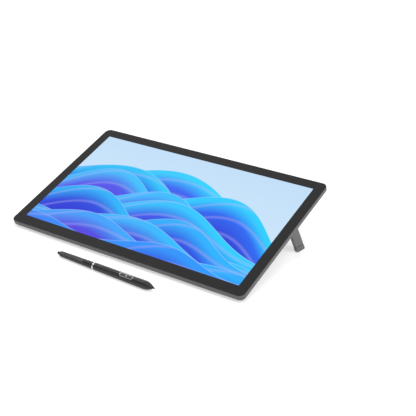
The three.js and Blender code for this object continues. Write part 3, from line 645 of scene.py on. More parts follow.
class LegSettings(bpy.types.PropertyGroup):
    """The two legs."""

    splay: angle_setting("How far a leg stands outward", 12)
    width: length_setting("Width of the leg", 20.5)
    thickness: length_setting("Thickness of the leg", 5)
    offset: length_setting("Middle of the plate, outward of the hinge", 0.5)
    neck: length_setting("Hinge to the full-width plate", 6)
    barrel: length_setting("Radius of the hinge barrel", 3)
    barrel_width: length_setting("Width of the hinge barrel", 12)
    bore: length_setting("Radius of the barrel's bore", 1.5)
    foot: length_setting("Height of the rubber foot", 9)
    sole: length_setting("Rounding of the foot's lower corners", 2.2)
    edge: length_setting("Rounding of the leg's edges", 0.9)
    side_gap: length_setting("Between the folded leg and its pocket", 0.8)
    pocket_wall: length_setting("Wall round the pocket", 1.6)
    pocket_depth: length_setting("Depth of the pocket", 9)
    pocket_corner: length_setting("Rounding of the pocket's corners", 1.2)
    heel: length_setting("Hinge to the pocket's outer end", 4.6)
    finger: length_setting("Free end of the folded leg to the pocket's end", 12)
    leg_colour: colour_setting("Anodised finish of the legs", 0.135, 0.133, 0.135)
    rubber_edge: length_setting("Rounding of the rubber feet's edges", 0.5)
    foot_colour: colour_setting("Rubber of the legs' feet", 0.1, 0.099, 0.1)
    rubber_colour: colour_setting("Feet and pads", 0.018, 0.018, 0.019)


class PenSettings(bpy.types.PropertyGroup):
    """The pen."""

    wall: length_setting("Thickness of the pen's shells", 1.3)
    nose: length_setting("Radius of the nose's end", 1.9)
    nose_length: length_setting("Shoulder to the nose's end", 15)
    cell: length_setting("Length of one side button", 10.6)
    cell_width: length_setting("Width of the side buttons", 4)
    button_floor: length_setting("Pen's middle line to the buttons' undersides", 3.6)
    button_rise: length_setting("How far the buttons stand out of the grip", 0.45)
    outline: length_setting("Width of the silver outline round them", 0.9)
    outline_rise: length_setting("How far the outline stands out of the grip", 0.2)
    flat: length_setting("How deep the barrel's flat is cut", 0.9)
    flat_length: length_setting("Rear end of the barrel to the end of its flat", 49.7)
    taper: length_setting("How much slimmer the barrel is at its rear end", 1.15)
    rear_bore: length_setting("Radius of the bore at the barrel's rear end", 2.7)
    rear_bore_length: length_setting("Length of that bore", 9.3)
    ring_bore: length_setting("Radius of the ring's bore", 4.2)
    fine_edge: length_setting("Rounding of the grip's and the outline's edges", 0.12)
    button_edge: length_setting("Rounding of the side buttons' edges", 0.25)
    barrel_edge: length_setting("Rounding of the barrel's edges", 0.1)
    groove: length_setting("Width and depth of the grooves beside the ring", 0.5)
    pen_colour: colour_setting("Satin plastic of the pen", 0.014, 0.0125, 0.0125)
    silver_colour: colour_setting("Ring and outline", 0.72, 0.71, 0.7)
    nib_colour: colour_setting("Nib and eraser", 0.014, 0.014, 0.014)


class StageSettings(bpy.types.PropertyGroup):
    """The floor, the light and the camera."""

    floor_size: bpy.props.FloatProperty(
        description="Side of the floor", default=14, min=1, unit="LENGTH"
    )
    floor_colour: colour_setting("Colour of the floor", 0.62, 0.62, 0.625)
    floor_glow: share_setting("Light of the floor itself, which softens the shadows", 0.5)
    ambient: share_setting("Strength of the light from all round", 0.5)
    lens: bpy.props.FloatProperty(description="Focal length in millimetres", default=77.43, min=1)
    distance: bpy.props.FloatProperty(
        description="Camera to what it looks at", default=1.436, unit="LENGTH"
    )
    bearing: angle_setting("Which side the camera stands on, from straight in front", 32.56)
    elevation: angle_setting("Height of the camera above the horizon", 23.03)
    roll: angle_setting("Turn of the camera about its own line of sight", 2.04)
    aim: bpy.props.FloatVectorProperty(
        description="What the camera looks at",
        default=(0.0571, 0.0588, 0.0498),
        size=3,
        subtype="TRANSLATION",
    )


def settings_of(group):
    return getattr(bpy.context.scene, "pen_tablet_" + group)


# ---- Shapes that several pieces share ------------------------------------------------------------


def active_area():
    """Corners of the lit area, in the tablet's frame."""
    border = settings_of("screen").border
    low, high = local_box("display_panel", TABLET)
    return low + Vector((border, border, 0)), high - Vector((border, border, 0))


def outline_slab(name, inset, low, high):
    """A slab in the tablet's outline, pulled in by an inset."""
    case = settings_of("case")
    return slab(
        name,
        (RIM_LOW.x + inset, RIM_LOW.y + inset, low),
        (RIM_HIGH.x - inset, RIM_HIGH.y - inset, high),
        max(case.corner - inset, 1.5 * MM),
        12,
    )


def bulge(name, inset, rise, top):
    """The raised middle of the back, or its hollow, from its foot down to the flat."""
    steps = 10
    case = settings_of("case")
    foot = RIM_LOW.z
    fall = foot - SHELL_LOW.z
    low = Vector((RIM_LOW.x + case.side_margin + inset, RIM_LOW.y + case.front_margin + inset, foot))
    high = Vector((RIM_HIGH.x - case.side_margin - inset, RIM_HIGH.y - case.rear_margin - inset, top))
    low.z = foot + rise
    piece = slab(name, low, high, case.back_corner - inset, 12)
    select_mesh(piece, "FACE", lambda centre, normal: normal.z < -0.9)
    middle = (low + high) / 2
    half = (high - low) / 2
    before = (half.x, half.y, middle.y, low.z)
    for step in range(1, steps + 1):
        run = (step / steps) ** 1.6
        drop = math.sin(math.pi / 2 * run**0.85)
        side = half.x - run * case.side_run
        front = low.y + run * case.front_run
        rear = high.y - run * case.rear_run
        after = (side, (rear - front) / 2, (rear + front) / 2, low.z - drop * fall)
        bpy.ops.mesh.extrude_region_move(
            TRANSFORM_OT_translate={"value": (0, after[2] - before[2], after[3] - before[3])}
        )
        bpy.ops.transform.resize(
            value=(after[0] / before[0], after[1] / before[1], 1),
            center_override=(middle.x, after[2], after[3]),
        )
        before = after
    return tidy_normals(piece)


def leg_pocket(name, hand, margin, ceiling):
    """The room a folded leg lies in."""
    legs = settings_of("legs")
    side = "right" if hand > 0 else "left"
    hinge = TABLET.inverted() @ Vector(joint(f"leg_{side}_fold")["pos_m"])
    foot_low = local_box(f"leg_foot_{side}", leg_stand(hand))[0]
    reach = -foot_low.z + legs.finger
    ends = sorted((hinge.x - hand * (reach + margin), hinge.x + hand * (legs.heel + margin)))
    half = legs.width / 2 + legs.side_gap + margin
    return slab(
        name,
        (ends[0], hinge.y - half, SHELL_LOW.z - PAST),
        (ends[1], hinge.y + half, ceiling),
        legs.pocket_corner + margin,
        5,
    )


def bay_room(name, margin):
    """The bay in the left flank, in front of its board and longer at its mouth than at its floor."""
    case = settings_of("case")
    board_low, board_high = local_box("bay_board", TABLET)
    back = board_low.x - case.bay_board_gap
    middle = (board_low.y + board_high.y) / 2
    half = (board_high.y - board_low.y) / 2 + margin
    floor = RIM_LOW.z - case.bay_depth - margin
    top = RIM_LOW.z - case.bay_top + margin
    room = slab(
        name,
        (RIM_LOW.x - 10 * PAST, middle - half, floor),
        (back + margin, middle + half, top),
        0,
    )
    select_mesh(room, "FACE", lambda centre, normal: normal.z > 0.9)
    bpy.ops.transform.resize(
        value=(1, (half + case.bay_flare) / half, 1),
        center_override=(back, middle, top),
    )
    bpy.ops.object.mode_set(mode="OBJECT")
    return room


def port_line():
    """Height of the row of rear ports."""
    return middle_of("usb_socket_inner").z


def grip_line(out=0.0):
    """The pen's grip as (along, radius) stations, moved out by an amount."""
    pen = settings_of("pen")
    start, end = GRIP_LOW.x, GRIP_HIGH.x
    full = max(GRIP_HIGH.z, -GRIP_LOW.z)
    rear = local_radius("pen_ring")
    shoulder = end - pen.nose_length
    stations = [(start, rear + out)]
    body_steps = 6
    for step in range(1, body_steps + 1):
        part = step / body_steps
        stations.append((start + part * (shoulder - start), rear + part * (full - rear) + out))
    nose_steps = 12
    for step in range(1, nose_steps + 1):
        part = step / nose_steps
        radius = full + (pen.nose - full) * part**1.9
        stations.append((shoulder + part * (end - shoulder), radius + out))
    return stations


def local_radius(node):
    """Radius of a turned pen piece."""
    back = PEN.inverted()
    return max((back @ v.co).yz.length for v in frame["nodes"][node].data.vertices)


def grip_envelope(out):
    return turned("envelope", grip_line(out), 64)


def button_layout():
    """Middle of the pair along the pen, and the whole pill's length."""
    pen = settings_of("pen")
    front = local_box("pen_button_front", PEN)
    rear = local_box("pen_button_rear", PEN)
    middle = (rear[0].x + front[1].x) / 2
    return middle, 2 * pen.cell + pen.outline


def button_cell(name, hand, margin):
    """One of the two button cells, on its side of the divider."""
    pen = settings_of("pen")
    middle, whole = button_layout()
    floor, top = pen.button_floor, 12 * PAST
    cell = pill(
        name,
        (middle, 0, (floor + top) / 2),
        whole + 2 * GAP + 2 * margin,
        pen.cell_width + 2 * margin,
        top - floor,
        10,
    )
    start = middle + hand * (pen.outline / 2 + GAP - margin)
    far = middle + hand * whole
    ends = sorted((start, far))
    reach = 20 * PAST
    half = slab("half", (ends[0], -reach, 0), (ends[1], reach, reach), 0)
    return boolean(cell, "INTERSECT", half)


# ---- Operators -----------------------------------------------------------------------------------


class BuildGlass(bpy.types.Operator):
    """Cover glass with its dark border, and the picture over the lit area"""

    bl_idname = "pen_tablet.glass"
    bl_label = "Cover Glass"

    def execute(self, context):
        screen = settings_of("screen")
        low, high = local_box("cover_glass", TABLET)
        case = settings_of("case")
        glass = slab("glass", low, high, case.corner - (low.x - RIM_LOW.x), 12)
        soften(glass, screen.glass_edge, 3)
        lit_low, lit_high = active_area()
        for direction in ((1, 0, 0), (0, 1, 0)):
            for place in (lit_low, lit_high):
                select_mesh(glass, "FACE", lambda centre, normal: normal.z > 0.99)
                bpy.ops.mesh.bisect(plane_co=place, plane_no=direction)
                bpy.ops.object.mode_set(mode="OBJECT")
        glass.data.materials.append(printed_glass(screen.glass_colour, screen.glass_roughness))
        glass.data.materials.append(layered_waves(screen))
        for face in glass.data.polygons:
            inside = all(lit_low[i] < face.center[i] < lit_high[i] for i in (0, 1))
            face.material_index = int(inside and face.normal.z > 0.99)
        settle(glass, TABLET)
        hand_over(glass, "tablet", "screen_glass", None, "cover_glass")
        return {"FINISHED"}


class BuildRim(bpy.types.Operator):
    """Metal frame round the glass, with its bevels, ports and button slot"""

    bl_idname = "pen_tablet.rim"
    bl_label = "Rim Frame"

    def execute(self, context):
        case = settings_of("case")
        turn = RIM_LOW.z + case.bevel_depth
        rim = outline_slab("rim", 0, turn, RIM_HIGH.z)
        rim.data.materials.append(blasted_metal("rim_metal", case.rim_colour))
        # The second material is painted shade: the rim's anodised finish made darker for the
        # downward-facing bevel
        rim.data.materials.append(blasted_metal("bevel_painted_shade", case.bevel_shade_colour))
        select_mesh(rim, "FACE", lambda centre, normal: normal.z < -0.9)
        bpy.ops.mesh.inset(thickness=case.bevel_inset, depth=case.bevel_depth)
        for height, width in (
            (RIM_LOW.z, case.low_edge),
            (turn, case.low_edge),
            (RIM_HIGH.z, case.top_edge),
        ):
            select_mesh(
                rim,
                "EDGE",
                lambda start, end: abs(start.z - height) < 1e-6 and abs(end.z - height) < 1e-6,
            )
            bpy.ops.mesh.bevel(offset=width, segments=3, profile=0.5)
            bpy.ops.object.mode_set(mode="OBJECT")
        # Painted shade: faces that look downward take the darker copy of the rim's finish
        for face in rim.data.polygons:
            face.material_index = int(-0.95 < face.normal.z < -0.2)
        seat = RIM_HIGH.z - case.glass
        shelf = seat - case.shelf_thickness
        low, high = RIM_LOW.z - PAST, RIM_HIGH.z + PAST
        cut(
            rim,
            outline_slab("seat", case.lip, seat, high),
            outline_slab("opening", case.shelf, low, high),
            outline_slab("hollow", case.wall, low, shelf),
        )
        front, rear = RIM_HIGH.y - case.wall - 2 * PAST, RIM_HIGH.y + PAST
        port = (case.port_length, case.port_height)
        key_slot = (case.key_slot_length, case.key_slot_height)
        for node, size in (
            ("usb_socket_inner", port),
            ("usb_socket_outer", port),
            ("power_switch", key_slot),
        ):
            cut(rim, rear_pill("slot", middle_of(node).x, port_line(), *size, front, rear))
        settle(rim, TABLET)
        hand_over(rim, "tablet", "rim_metal", None, "rim_frame", smooth=40)
        return {"FINISHED"}


class BuildBack(bpy.types.Operator):
    """Back shell with its raised middle, leg pockets, socket bay, vents and screw wells"""

    bl_idname = "pen_tablet.back"
    bl_label = "Back Shell"

    def execute(self, context):
        case = settings_of("case")
        legs = settings_of("legs")
        flange_top = RIM_LOW.z + case.flange
        inset = case.wall + GAP
        shell = outline_slab("back", inset, RIM_LOW.z, flange_top)
        join(shell, bulge("raised", 0, 0, flange_top - 0.2 * MM))

        hollow = bulge("hollow", case.shell_wall, case.shell_wall, flange_top + PAST)
        ceiling = SHELL_LOW.z + legs.pocket_depth
        for hand in (-1, 1):
            cut(hollow, leg_pocket("wall", hand, legs.pocket_wall, ceiling + legs.pocket_wall))
        cut(hollow, bay_room("bay_wall", case.bay_wall))
        wells = [middle_of(f"back_screw_{number}") for number in range(1, 7)]
        for place in wells:
            cut(hollow, self.post(place, case.boss, SHELL_LOW.z - PAST, flange_top - PAST))
        cut(shell, hollow)

        for hand in (-1, 1):
            cut(shell, leg_pocket("pocket", hand, 0, ceiling))
        cut(shell, bay_room("bay", 0))
        for node in ("bay_video_socket", "bay_usb_socket"):
            low, high = local_box(node, TABLET)
            ease = Vector((8 * PAST, GAP, GAP))
            cut(shell, slab("socket_hole", low - ease, high + ease, 0))
        for place in wells:
            well_floor = SHELL_LOW.z + case.well_depth
            cut(shell, self.post(place, case.well, SHELL_LOW.z - PAST, well_floor))
            cut(shell, self.post(place, case.screw_hole, SHELL_LOW.z - PAST, flange_top))
        for slot in self.vents(case):
            cut(shell, slot)
        soften(shell, case.shell_edge, 2, degrees=50)
        settle(shell, TABLET)
        finish = textured_paint("back_paint", case.shell_colour)
        hand_over(shell, "tablet", "back_cover", finish, "back_shell", smooth=30)
        return {"FINISHED"}

    @staticmethod
    def post(place, radius, low, high):
        return rod("post", radius, high - low, 32, (place.x, place.y, (low + high) / 2))

    @staticmethod
    def vents(case):
        """Slots through the flat of the back, in one row."""
        count = 12
        y = RIM_LOW.y + case.vent_place
        for i in range(count):
            x = (i - (count - 1) / 2) * case.vent_pitch
            slot = pill("vent", (0, 0, 0), case.vent_length, case.vent_width, 4 * case.shell_wall, 4)
            stand = Matrix.Translation((x, y, SHELL_LOW.z)) @ Matrix.Rotation(math.pi / 2, 4, "Z")
            yield settle(slot, stand)


class BuildLegs(bpy.types.Operator):
    """Two legs with their hinge barrels and rubber feet"""

    bl_idname = "pen_tablet.legs"
    bl_label = "Legs"

    def execute(self, context):
        legs = settings_of("legs")
        metal = blasted_metal("leg_metal", legs.leg_colour, roughness=0.38)
        rubber = rubber_like("leg_rubber", legs.foot_colour, roughness=0.7)
        for hand, side in ((-1, "left"), (1, "right")):
            stand = leg_stand(hand)
            leg = self.blank("leg_plate_" + side, stand)
            keep_above(leg, legs.foot)
            soften(leg, legs.edge, 3)
            join(leg, *self.hinge_end(stand))
            width = legs.barrel_width + 4 * PAST
            cut(leg, rod("bore", legs.bore, width, 32, turn=(math.pi / 2, 0, 0), stand=stand))
            hand_over(leg, "leg_" + side, "leg_metal", metal, "leg_" + side)
            foot = self.blank("rubber_foot_" + side, stand)
            keep_above(foot, legs.foot - GAP, below=True)
            keep_above(foot, 0)
            self.round_sole(foot)
            soften(foot, legs.rubber_edge, 3)
            hand_over(foot, "leg_" + side, "rubber", rubber, "leg_foot_" + side)
        return {"FINISHED"}

    @staticmethod
    def blank(name, stand):
        """The leg's plate, long enough to reach past the table."""
        legs = settings_of("legs")
        half = legs.width / 2
        low = (legs.offset - legs.thickness / 2, -half, -100 * PAST)
        high = (legs.offset + legs.thickness / 2, half, -legs.neck)
        return settle(slab(name, low, high, 0), stand)

    @staticmethod
    def round_sole(foot):
        """Rounds the foot's front and rear corners where it meets the table."""
        legs = settings_of("legs")
        select_mesh(
            foot,
            "EDGE",
            lambda start, end: max(start.z, end.z) < 1e-5 and (start - end).length < legs.width / 2,
        )
        bpy.ops.mesh.bevel(offset=legs.sole, segments=6)
        bpy.ops.object.mode_set(mode="OBJECT")

    @staticmethod
    def hinge_end(stand):
        """Neck and barrel of the hinge."""
        legs = settings_of("legs")
        half = legs.barrel_width / 2
        step = 0.1 * MM
        low = (legs.offset - legs.thickness / 2 + step, -half, -legs.neck - 1.5 * PAST)
        high = (legs.offset + legs.thickness / 2 - step, half, -0.5 * PAST)
        neck = settle(slab("neck", low, high, 0), stand)
        width = legs.barrel_width + 0.02 * MM
        return neck, rod("barrel", legs.barrel, width, 40, turn=(math.pi / 2, 0, 0), stand=stand)


class BuildFeet(bpy.types.Operator):
    """Rubber strips under the front edge, round pads and screws under the back"""

    bl_idname = "pen_tablet.feet"
    bl_label = "Feet, Pads and Screws"

    def execute(self, context):
        legs = settings_of("legs")
        rubber = rubber_like("foot_rubber", legs.rubber_colour, roughness=0.8)
        for side in ("left", "right"):
            node = "front_foot_" + side
            low, high = local_box(node, TABLET)
            low.z = high.z - 12 * PAST
            strip = slab("front_strip_" + side, low, high, (high.y - low.y) / 2 - 0.2 * MM, 8)
            keep_above(settle(strip, TABLET), 0)
            soften(strip, legs.rubber_edge, 3)
            hand_over(strip, "tablet", "rubber", rubber, node)
        self.pads(rubber)
        self.screws()
        return {"FINISHED"}

    @staticmethod
    def pads(rubber):
        """One domed pad, copied under each CAD pad."""
        low, high = local_box("back_pad_front_left", TABLET)
        tall, wide = high.z - low.z, (high.x - low.x) / 2
        stations = [(0, 0.4 * wide), (0.02 * tall, 0.72 * wide), (0.12 * tall, 0.86 * wide)]
        stations += [(0.4 * tall, 0.96 * wide), (0.75 * tall, wide), (tall, wide)]
        corners = ("front_left", "front_right", "rear_left", "rear_right")
        names = {"back_pad_" + corner: "round_pad_" + corner for corner in corners}
        place_copies(turned("pad", stations, 40), names, "rubber", rubber)

    @staticmethod
    def screws():
        """One pan-head screw with a six-sided socket, copied into each well."""
        steel = brushed_metal("screw_steel", (0.3, 0.3, 0.3), 0.35, lines=(1, 1, 1))
        low, high = local_box("back_screw_1", TABLET)
        long, head = high.z - low.z, (high.x - low.x) / 2
        deep, shaft, drive = 1.5 * MM, 1.3 * MM, 1.15 * MM
        stations = [(0, 0.8 * head), (0.15 * MM, 0.94 * head), (0.4 * MM, head), (deep, head)]
        stations += [(deep + 1e-7, shaft), (long - 0.6 * MM, shaft), (long, 0.7 * MM)]
        first = turned("screw", stations, 32)
        cut(first, turned("drive", [(-PAST, drive), (0.8 * MM, drive)], 6))
        names = {f"back_screw_{number}": f"cover_screw_{number}" for number in range(1, 7)}
        place_copies(first, names, "steel", steel)


class BuildPower(bpy.types.Operator):
    """Power button between the rear ports"""

    bl_idname = "pen_tablet.power"
    bl_label = "Power Button"

    def execute(self, context):
        case = settings_of("case")
        pen = settings_of("pen")
        low, high = local_box("power_button", TABLET)
        place = (middle_of("power_button").x, port_line())
        flange_thickness = 0.8 * MM
        inner = low.y + flange_thickness / 2
        cap = rear_pill("power_key", *place, case.key_length, case.key_height, inner, high.y)
        soften(cap, case.key_edge, 3)
        size = (case.key_flange_length, case.key_flange_height)
        flange = rear_pill("flange", *place, *size, low.y, low.y + flange_thickness)
        join(cap, flange)
        settle(cap, TABLET)
        finish = brushed_metal("key_silver", pen.silver_colour, 0.35)
        hand_over(cap, "power_button", "silver_trim", finish, "power_button")
        return {"FINISHED"}


class BuildPenGrip(bpy.types.Operator):
    """Front half of the pen with its nose, and the slot for the side buttons"""

    bl_idname = "pen_tablet.pen_grip"
    bl_label = "Pen Grip"

    def execute(self, context):
        pen = settings_of("pen")
        line = grip_line()
        start, end = line[0][0], line[-1][0]
        groove = [(start, line[0][1] - pen.groove), (start + pen.groove, line[0][1] - pen.groove)]
        grip = turned("grip", [*groove, (start + 1.01 * pen.groove, line[0][1]), *line[1:]], 64)
        shoulder = end - pen.nose_length
        full = max(GRIP_HIGH.z, -GRIP_LOW.z)
        bore = [
            (start - PAST, line[0][1] - pen.wall),
            (shoulder, full - pen.wall),
            (shoulder + 8 * MM, full - 2.6 * MM),
            (end - 6 * MM, pen.nose - 0.6 * MM),
            (end + PAST, pen.nose - 0.6 * MM),
        ]
        cut(grip, turned("bore", bore, 48))
        middle, whole = button_layout()
        slot_length = whole + 2 * pen.outline + 6 * GAP
        slot_width = pen.cell_width + 2 * pen.outline + 4 * GAP
        cut(grip, pill("slot", (middle, 0, 7 * MM), slot_length, slot_width, 9 * MM, 12))
        soften(grip, pen.fine_edge, 2, degrees=45)
        settle(grip, PEN)
        finish = soft_touch("pen_satin", pen.pen_colour)
        hand_over(grip, "pen", "pen_plastic", finish, "pen_grip", smooth=35)
        return {"FINISHED"}


class BuildPenButtons(bpy.types.Operator):
    """Silver outline and the two side buttons in it"""

    bl_idname = "pen_tablet.pen_buttons"
    bl_label = "Pen Buttons"

    def execute(self, context):
        pen = settings_of("pen")
        middle, whole = button_layout()
        trim = pill(
            "button_outline",
            (middle, 0, 8.5 * MM),
            whole + 2 * pen.outline + 4 * GAP,
            pen.cell_width + 2 * pen.outline + 2 * GAP,
            8 * MM,
            12,
        )
        boolean(trim, "INTERSECT", grip_envelope(pen.outline_rise))
        cut(trim, button_cell("rear_cell", -1, GAP), button_cell("front_cell", 1, GAP))
        soften(trim, pen.fine_edge, 2, degrees=50)
        settle(trim, PEN)
        silver = brushed_metal("outline_silver", shade(pen.silver_colour, 0.75), 0.4, lines=(1, 1, 1))
        hand_over(trim, "pen", "silver_trim", silver, "pen_button_frame")
        satin = soft_touch("button_satin", shade(pen.pen_colour, 1.15), 0.33)
        for hand, end in ((-1, "rear"), (1, "front")):
            button = button_cell("side_button_" + end, hand, 0)
            boolean(button, "INTERSECT", grip_envelope(pen.button_rise))
            soften(button, pen.button_edge, 3, degrees=50)
            settle(button, PEN)
            node = "pen_button_" + end
            hand_over(button, node, "pen_plastic", satin, node)
        return {"FINISHED"}


class BuildPenBarrel(bpy.types.Operator):
    """Rear half of the pen with its flat, and the silver ring"""

    bl_idname = "pen_tablet.pen_barrel"
    bl_label = "Pen Barrel and Ring"

    def execute(self, context):
        pen = settings_of("pen")
        start, end = PEN_BARREL_LOW.x, PEN_BARREL_HIGH.x
        front = (PEN_BARREL_HIGH.y - PEN_BARREL_LOW.y) / 2
        rear = front - pen.taper
        stations = [(start, rear - 1.5 * MM), (start + 0.5 * MM, rear - 1 * MM)]
        stations += [(start + 3.3 * MM, rear - 0.05 * MM), (start + 4.3 * MM, rear + 0.02 * MM)]
        stations += [(start + 30 * MM, rear + 0.5 * MM), (end - 1.01 * pen.groove, front)]
        stations += [(end - pen.groove, front - pen.groove), (end, front - pen.groove)]
        barrel = turned("barrel", stations, 64)
        bore = [(start - PAST, pen.rear_bore), (start + pen.rear_bore_length, pen.rear_bore)]
        bore += [(end + PAST, front - pen.wall)]
        cut(barrel, turned("bore", bore, 40))
        slope = math.atan2(front - rear, end - start)
        reach = 20 * PAST
        flat = slab("flat", (-5 * PAST, -reach, 0), (pen.flat_length, reach, reach), 0)
        stand = Matrix.Translation((start, 0, rear - pen.flat))
        settle(flat, stand @ Matrix.Rotation(-slope, 4, "Y"))
        cut(barrel, flat)
        soften(barrel, pen.barrel_edge, 2, degrees=20)
        settle(barrel, PEN)
        finish = soft_touch("barrel_satin", shade(pen.pen_colour, 0.9), 0.36)
        hand_over(barrel, "pen", "pen_plastic", finish, "pen_barrel", smooth=22)

        low, high = local_box("pen_ring", PEN)
        radius = local_radius("pen_ring")
        lip = 0.25 * MM
        stations = [(low.x, radius - lip), (low.x + lip, radius)]
        stations += [(high.x - lip, radius), (high.x, radius - lip)]
        ring = turned("silver_ring", stations, 64)
        cut(ring, turned("bore", [(low.x - PAST, pen.ring_bore), (high.x + PAST, pen.ring_bore)], 48))
        settle(ring, PEN)
        silver = brushed_metal("ring_silver", pen.silver_colour, 0.22, lines=(1, 1, 1))
        hand_over(ring, "pen", "silver_trim", silver, "pen_ring", smooth=40)
        return {"FINISHED"}


class BuildPenEnds(bpy.types.Operator):
    """Nib and eraser"""

    bl_idname = "pen_tablet.pen_ends"
    bl_label = "Nib and Eraser"

    def execute(self, context):
        pen = settings_of("pen")
        finish = rubber_like("nib_plastic", pen.nib_colour, roughness=0.5, grain=0.15 * MM)
        low, high = local_box("pen_nib", PEN)
        end, nose = high.x, GRIP_HIGH.x
        full, shank = 1.2 * MM, 0.8 * MM
        stations = [(low.x, shank), (nose - 2 * MM, shank), (nose - 0.6 * MM, full), (nose + 1 * MM, full)]
        tip_steps = 6
        for step in range(1, tip_steps + 1):
            part = step / tip_steps
            along = nose + 1 * MM + part * (end - nose - 1 * MM)
            stations.append((along, full * math.sqrt(1 - 0.985 * part**1.7)))
        nib = settle(turned("nib", stations, 32), PEN)
        hand_over(nib, "pen_nib", "nib_plastic", finish, "pen_nib", smooth=40)

        low, high = local_box("pen_eraser", PEN)
        radius = local_radius("pen_eraser")
        stations = [(low.x, 0.25 * radius)]
        dome_steps = 6
        for step in range(1, dome_steps + 1):
            part = step / dome_steps
            stations.append((low.x + part * 1.3 * MM, radius * math.sqrt(1 - (1 - part) ** 2 * 0.93)))
        shoulder = high.x - 6 * MM
        stations += [(shoulder, radius), (shoulder + 0.01 * MM, radius - 1 * MM), (high.x, radius - 1 * MM)]
        eraser = settle(turned("eraser", stations, 40), PEN)
        hand_over(eraser, "pen_eraser", "nib_plastic", finish, "pen_eraser", smooth=40)
        return {"FINISHED"}


class DressInside(bpy.types.Operator):
    """Finishes for the pieces inside, which keep their CAD shapes"""

    bl_idname = "pen_tablet.inside"
    bl_label = "Inner Pieces"

    def execute(self, context):
        steel = brushed_metal("plain_steel", (0.5, 0.5, 0.49), 0.3)
        dress(steel, "power_switch", "pen_nib_clamp", "pen_switch_front", "pen_switch_rear")
        for side in ("left", "right"):
            dress(steel, "hinge_bracket_" + side, "hinge_pin_" + side, "hinge_leaf_" + side)
        sockets = brushed_metal("socket_steel", (0.42, 0.42, 0.42), 0.32, lines=(1, 1, 1))
        dress(sockets, "usb_socket_inner", "usb_socket_outer", "bay_video_socket", "bay_usb_socket")
        board = circuit_board("solder_mask", (0.03, 0.16, 0.07))
        dress(board, "digitizer_board", "main_board", "display_driver_board", "pen_signal_board")
        dress(board, "port_board", "bay_board", "pen_board")
        plate = brushed_metal("bare_plate", (0.55, 0.56, 0.57), 0.4)
        dress(plate, "chassis_plate", "heat_spreader")
        dress(rubber_like("ribbon_film", (0.5, 0.25, 0.06), 0.4), "display_ribbon", "digitizer_ribbon")
        dress(rubber_like("panel_back", (0.25, 0.3, 0.36), 0.3), "display_panel")
        dress(rubber_like("diffuser", (0.8, 0.82, 0.84), 0.5), "backlight_unit")
        ferrite = rubber_like("ferrite", (0.05, 0.05, 0.055), 0.6)
        dress(ferrite, "pen_ferrite_core", "pen_pressure_sensor", "pen_eraser_switch")
        dress(brushed_metal("winding", (0.6, 0.28, 0.12), 0.3, lines=(3, 1, 1)), "pen_coil")
        return {"FINISHED"}


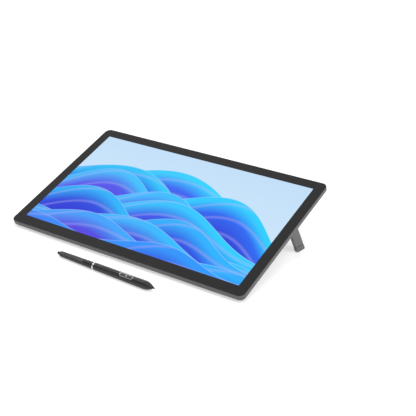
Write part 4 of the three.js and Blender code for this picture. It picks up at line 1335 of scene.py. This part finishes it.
class BuildStage(bpy.types.Operator):
    """Pale floor, soft studio light and the camera"""

    bl_idname = "pen_tablet.stage"
    bl_label = "Stage"

    def execute(self, context):
        stage = settings_of("stage")
        bpy.ops.object.select_all(action="DESELECT")
        bpy.ops.mesh.primitive_plane_add(size=stage.floor_size, location=(0, 0, -0.2 * MM))
        floor = named("floor")
        finish = Finish("floor_paper", stage.floor_colour, 0.9)
        finish.give("Specular IOR Level", 0.1)
        finish.give("Emission Color", (1, 1, 1, 1))
        finish.give("Emission Strength", stage.floor_glow)
        floor.data.materials.append(finish.material)

        world = bpy.data.worlds.new("studio")
        world.use_nodes = True
        background = world.node_tree.nodes["Background"]
        background.inputs["Color"].default_value = (1, 1, 1, 1)
        background.inputs["Strength"].default_value = stage.ambient
        context.scene.world = world
        context.scene.view_settings.view_transform = "Standard"

        for name, place, aim, size, power in (
            ("overhead", (0.9, -0.5, 2.1), (0, 0, 0), 2.2, 36),
            ("right_key", (2.2, 0.5, 0.8), (0.1, 0, 0.05), 1.4, 16),
            ("rear_left", (-1.5, 2.3, 1.1), (0, 0, 0), 1.1, 20),
            ("pen_light", (-1.25, -0.25, 2.0), (0, -0.145, 0), 0.5, 9),
        ):
            self.lamp(name, Vector(place), Vector(aim), size, power)
        self.camera(context, stage)
        return {"FINISHED"}

    @staticmethod
    def lamp(name, place, aim, size, power):
        data = bpy.data.lights.new(name, "AREA")
        data.size = size
        data.energy = power
        lamp = bpy.data.objects.new(name, data)
        lamp.location = place
        lamp.rotation_euler = (aim - place).to_track_quat("-Z", "Y").to_euler()
        bpy.context.scene.collection.objects.link(lamp)

    @staticmethod
    def camera(context, stage):
        data = bpy.data.cameras.new("camera")
        data.lens = stage.lens
        data.sensor_width = 36
        data.clip_start = 0.01
        data.clip_end = 100
        camera = bpy.data.objects.new("camera", data)
        away = Vector(
            (
                math.sin(stage.bearing) * math.cos(stage.elevation),
                -math.cos(stage.bearing) * math.cos(stage.elevation),
                math.sin(stage.elevation),
            )
        )
        look = (-away).to_track_quat("-Z", "Y").to_matrix().to_4x4()
        place = Matrix.Translation(Vector(stage.aim) + away * stage.distance)
        camera.matrix_world = place @ look @ Matrix.Rotation(stage.roll, 4, "Z")
        context.scene.collection.objects.link(camera)
        context.scene.camera = camera


OPERATORS = (
    BuildStage,
    BuildGlass,
    BuildRim,
    BuildBack,
    BuildLegs,
    BuildFeet,
    BuildPower,
    BuildPenGrip,
    BuildPenButtons,
    BuildPenBarrel,
    BuildPenEnds,
    DressInside,
)
GROUPS = {
    "screen": ScreenSettings,
    "case": CaseSettings,
    "legs": LegSettings,
    "pen": PenSettings,
    "stage": StageSettings,
}


class TabletPanel(bpy.types.Panel):
    """Sidebar panel that lists the tablet's pieces"""

    bl_idname = "VIEW3D_PT_pen_tablet"
    bl_label = "Pen Drawing Tablet"
    bl_space_type = "VIEW_3D"
    bl_region_type = "UI"
    bl_category = "Tablet"

    def draw(self, context):
        for operator in OPERATORS:
            self.layout.operator(operator.bl_idname)
        for group, kind in GROUPS.items():
            box = self.layout.box()
            box.label(text=group.title())
            for setting in kind.__annotations__:
                box.prop(settings_of(group), setting, text=setting.replace("_", " ").capitalize())


def register():
    for kind in (*GROUPS.values(), *OPERATORS, TabletPanel):
        bpy.utils.register_class(kind)
    for group, kind in GROUPS.items():
        pointer = bpy.props.PointerProperty(type=kind)
        setattr(bpy.types.Scene, "pen_tablet_" + group, pointer)


def unregister():
    for group in GROUPS:
        delattr(bpy.types.Scene, "pen_tablet_" + group)
    for kind in reversed((*GROUPS.values(), *OPERATORS, TabletPanel)):
        bpy.utils.unregister_class(kind)


def main():
    register()
    for operator in OPERATORS:
        group, name = operator.bl_idname.split(".")
        getattr(getattr(bpy.ops, group), name)()


if __name__ == "__main__":
    main()
